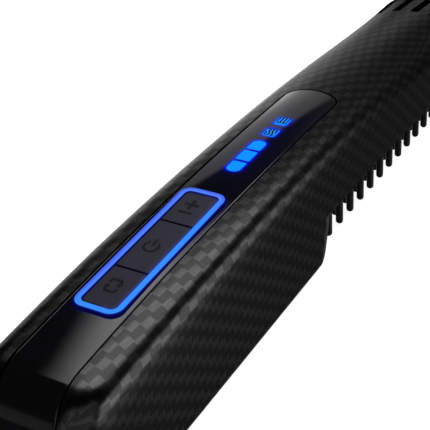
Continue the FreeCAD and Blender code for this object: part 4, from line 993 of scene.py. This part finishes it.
def level_mark():
    """A plus sign over a minus sign."""
    reach = LEVEL_REACH
    half = LEVEL_HALF_STROKE
    arm = [(half, -reach), (half, -half), (reach, -half), (reach, half), (half, half), (half, reach)]
    plus = arm + turned(arm)
    minus = rectangle(-reach, reach, -half, half)
    return [moved(plus, MARK_X, PLUS_Y), moved(minus, MARK_X, MINUS_Y)]


def mode_mark():
    """Two arrows that chase each other round a rounded square."""
    one = arrow(MODE_PATH, MODE_STROKE, MODE_HEAD_HALF_WIDTH, MODE_HEAD_LENGTH)
    return [moved(outline, MARK_X, MODE_Y) for outline in (one, turned(one))]


print_symbol("power_mark", power_mark(), KEY_LOW, KEY_HIGH, "power_key_body", symbol_dark)
print_symbol("level_mark", level_mark(), KEY_LOW, KEY_HIGH, "level_key_body", symbol_dark)
print_symbol("mode_mark", mode_mark(), KEY_LOW, KEY_HIGH, "mode_key_body", symbol_dark)

# Symbols in the windows: a lit frame round a dark field with heat waves, and an open one with a comb

HEAT_PLACE, COMB_PLACE = ICON_PLACES
ICON_FRAME = 0.55
ICON_STROKE = 0.42
WAVE_PITCH = 0.9
WAVE_SWING = 0.22
WAVE_REACH = 1.25
WAVE_STEPS = 12
TOOTH_PITCH = 0.85
TOOTH_REACH = (-0.75, 1.9)
FIELD_HIGH = 0.02
STROKE_SIDES = (-1, 0, 1)


def heat_waves():
    strokes = []
    for side in STROKE_SIDES:
        path = []
        for step in range(WAVE_STEPS + 1):
            share = step / WAVE_STEPS
            swing = WAVE_SWING * math.sin(2 * math.pi * share)
            path.append((side * WAVE_PITCH + swing, WAVE_REACH * (2 * share - 1)))
        strokes.append(moved(path_band(path, ICON_STROKE), 0, HEAT_PLACE - RING_Y))
    return strokes


def comb_teeth():
    strokes = []
    for side in STROKE_SIDES:
        middle = side * TOOTH_PITCH
        tooth = rectangle(middle - ICON_STROKE / 2, middle + ICON_STROKE / 2, *TOOTH_REACH)
        strokes.append(moved(tooth, 0, COMB_PLACE - RING_Y))
    return strokes


def print_window(name, place, far_frame, strokes):
    """Dark field inside a window's lit frame, and the lit strokes on it."""
    middle = place - RING_Y
    top = back_height(place) - back_height(RING_Y) - math.tan(KEY_TIP) * middle
    low = top + PRINT_LOW
    half = ICON_HALF_WIDTH - ICON_FRAME
    near = middle - ICON_HALF_LENGTH + ICON_FRAME
    far = middle + ICON_HALF_LENGTH - far_frame
    field = [rectangle(-half, half, near, far)]
    print_symbol(f"{name}_field", field, low, top + FIELD_HIGH, "straightener_body",
                 gloss_print)
    print_symbol(f"{name}_strokes", strokes, low, top + PRINT_HIGH, "straightener_body",
                 symbol_glow)


print_window("heat", HEAT_PLACE, ICON_FRAME, heat_waves())
print_window("comb", COMB_PLACE, 0, comb_teeth())


# Stage: pale floor, studio and camera

WHITE = (1, 1, 1)
FLOOR_REACH = 1500
FLOOR_HEIGHT = -0.2
FLOOR_TONES = ((0.8, 0.8, 0.8), (0.84, 0.84, 0.84))
FLOOR_ROUGHNESS = 0.9
FLOOR_GLOW = 0.9
FLOOR_GRAIN = 6.0


def floor():
    corners = rectangle(-FLOOR_REACH, FLOOR_REACH, -FLOOR_REACH, FLOOR_REACH)
    sheet = new_piece("floor", [(x, y, FLOOR_HEIGHT) for x, y in corners], [tuple(range(len(corners)))])
    paint = Paint("floor_white", roughness=FLOOR_ROUGHNESS, specular_ior_level=0.0,
                  emission_strength=FLOOR_GLOW)
    paint.set("Base Color", paint.mix(paint.noise(FLOOR_GRAIN), *FLOOR_TONES))
    paint.set("Emission Color", WHITE)
    sheet.data.materials.append(paint.material)
    sheet.visible_glossy = False


# The studio as seen from the object. Turn runs from the head's direction toward the left, rise from the
# horizon up, both in degrees. Each light fades in from its first edge to its second, and out from its third
# to its fourth.
BOARD_LOW_TURNS = ((24, 39, 45, 74),)
BOARD_LOW_RISE = (-48, -34, 9, 19)
BOARD_LOW_LIGHT = 2.3
HORIZON_TURNS = ((-100, -90, -46, -33),)
HORIZON_RISE = (-44, -26, -4, 9)
HORIZON_LIGHT = 2.3
FILL_TURNS = ((-182, -181, -10, 10), (150, 172, 181, 182))
FILL_RISE = (-95, -91, -24, -14)
FILL_LIGHT = 0.12
FRONT_TURNS = ((-182, -181, -112, -95), (160, 172, 181, 182))
FRONT_RISE = (-40, -25, 25, 42)
FRONT_LIGHT = 0.45
SIDE_TURNS = ((80, 95, 150, 165),)
SIDE_RISE = (-34, -24, -8, 2)
SIDE_LIGHT = 0.15
VEIL_TURNS = ((-70, -50, 5, 25),)
VEIL_RISE = (-8, 5, 38, 50)
VEIL_LIGHT = 0.13
EVEN_LIGHTS = (
    (BOARD_LOW_TURNS, BOARD_LOW_RISE, BOARD_LOW_LIGHT),
    (HORIZON_TURNS, HORIZON_RISE, HORIZON_LIGHT),
    (FILL_TURNS, FILL_RISE, FILL_LIGHT),
    (FRONT_TURNS, FRONT_RISE, FRONT_LIGHT),
    (SIDE_TURNS, SIDE_RISE, SIDE_LIGHT),
    (VEIL_TURNS, VEIL_RISE, VEIL_LIGHT),
)

# Light from every side, and the brightness of what the camera sees behind the object
DIM = 0.015
BACKDROP = 1.0

# Upper board, which dims from its lower to its upper full edge
BOARD_TURN = (4, 24, 44, 57)
BOARD_RISE = (2, 14, 27.5, 29.5)
BOARD_LIGHTS = (0.95, 0.42)

# Top light, a patch of ceiling. Its edges are shares of the ceiling's height, across for left and right and
# along for near. The left edge bows and the right edge slants along the body, and the far edge is a rise
# that is highest at the middle turn.
TOP_LEFT_SHARES = (-0.66, -0.51)
TOP_LEFT_BOW_SHARE = 0.27
TOP_RIGHT_SHARES = (0.16, 0.34)
TOP_RIGHT_SLANT_SHARE = 0.7
TOP_NEAR_SHARES = (-0.09, -0.02)
TOP_FAR_TURNS = (-35, 5, 45)
TOP_FAR_RISES = (31, 45, 37)
TOP_FAR_SOFT = 4
TOP_LIGHT = 2.6
LEAST_UPWARD_SHARE = 0.05


def even_light(sky, turn, rise, turns, rises, strength):
    """One light, even between its full edges."""
    along = sky.total([sky.band(turn, edges) for edges in turns])
    return sky.product(along, sky.band(rise, rises), strength)


def board_light(sky, turn, rise):
    _, low, high, _ = BOARD_RISE
    strength = sky.blend(rise, low, high, *BOARD_LIGHTS)
    return sky.product(sky.band(turn, BOARD_TURN), sky.band(rise, BOARD_RISE), strength)


def top_light(sky, turn, rise, x, y, z):
    upward = sky.math("MAXIMUM", z, LEAST_UPWARD_SHARE)
    aside = sky.math("DIVIDE", x, upward)
    ahead = sky.math("DIVIDE", y, upward)
    left = sky.math("ADD", aside, sky.product(ahead, ahead, TOP_LEFT_BOW_SHARE))
    right = sky.math("SUBTRACT", aside, sky.math("MULTIPLY", ahead, TOP_RIGHT_SLANT_SHARE))
    far_edge = sky.math("MINIMUM", sky.blend(turn, *TOP_FAR_TURNS[:2], *TOP_FAR_RISES[:2]),
                        sky.blend(turn, *TOP_FAR_TURNS[1:], *TOP_FAR_RISES[1:]))
    above_edge = sky.math("SUBTRACT", rise, far_edge)
    return sky.product(sky.blend(left, *TOP_LEFT_SHARES),
                       sky.blend(right, *TOP_RIGHT_SHARES, 1.0, 0.0),
                       sky.blend(ahead, *TOP_NEAR_SHARES),
                       sky.blend(above_edge, -TOP_FAR_SOFT, TOP_FAR_SOFT),
                       TOP_LIGHT)


def studio():
    """White to the camera, and the lights to everything else."""
    world = bpy.data.worlds.new("studio")
    world.use_nodes = True
    sky = Nodes(world.node_tree)
    x, y, z = sky.apart(sky.add("ShaderNodeTexCoord", {}, "Generated"))
    turn = sky.math("DEGREES", sky.math("ARCTAN2", sky.math("MULTIPLY", x, -1.0), y))
    rise = sky.math("DEGREES", sky.math("ARCSINE", z))
    lights = [even_light(sky, turn, rise, *values) for values in EVEN_LIGHTS]
    lights.append(board_light(sky, turn, rise))
    lights.append(top_light(sky, turn, rise, x, y, z))
    lights.append(DIM)
    seen = sky.add("ShaderNodeLightPath", {}, "Is Camera Ray")
    strength = sky.add("ShaderNodeMix", {0: seen, 2: sky.total(lights), 3: BACKDROP})
    background = next(node for node in world.node_tree.nodes if node.type == "BACKGROUND")
    wire(world.node_tree, background.inputs["Strength"], strength)
    wire(world.node_tree, background.inputs["Color"], WHITE)
    bpy.context.scene.world = world


floor()
studio()

# Camera fitted to the photograph: its own axes, and its place and near limit in mm
RIGHT = Vector((0.8638, 0.4990, -0.0693))
UP = Vector((-0.2218, 0.5001, 0.8371))
AHEAD = Vector((-0.45235, 0.70775, -0.54265))
CAMERA_SPOT = Vector((120.83, -226.13, 172.46))
NEAR_LIMIT = 10
LENS = 95.13
SENSOR_WIDTH = 36

camera_data = bpy.data.cameras.new("camera")
camera_data.lens = LENS
camera_data.sensor_width = SENSOR_WIDTH
camera_data.clip_start = NEAR_LIMIT * MM
camera = bpy.data.objects.new("camera", camera_data)
bpy.context.scene.collection.objects.link(camera)
camera_turn = Matrix((RIGHT, UP, -AHEAD)).transposed().to_4x4()
camera.matrix_world = Matrix.Translation(CAMERA_SPOT * MM) @ camera_turn
bpy.context.scene.camera = camera
bpy.context.scene.view_settings.view_transform = "Standard"
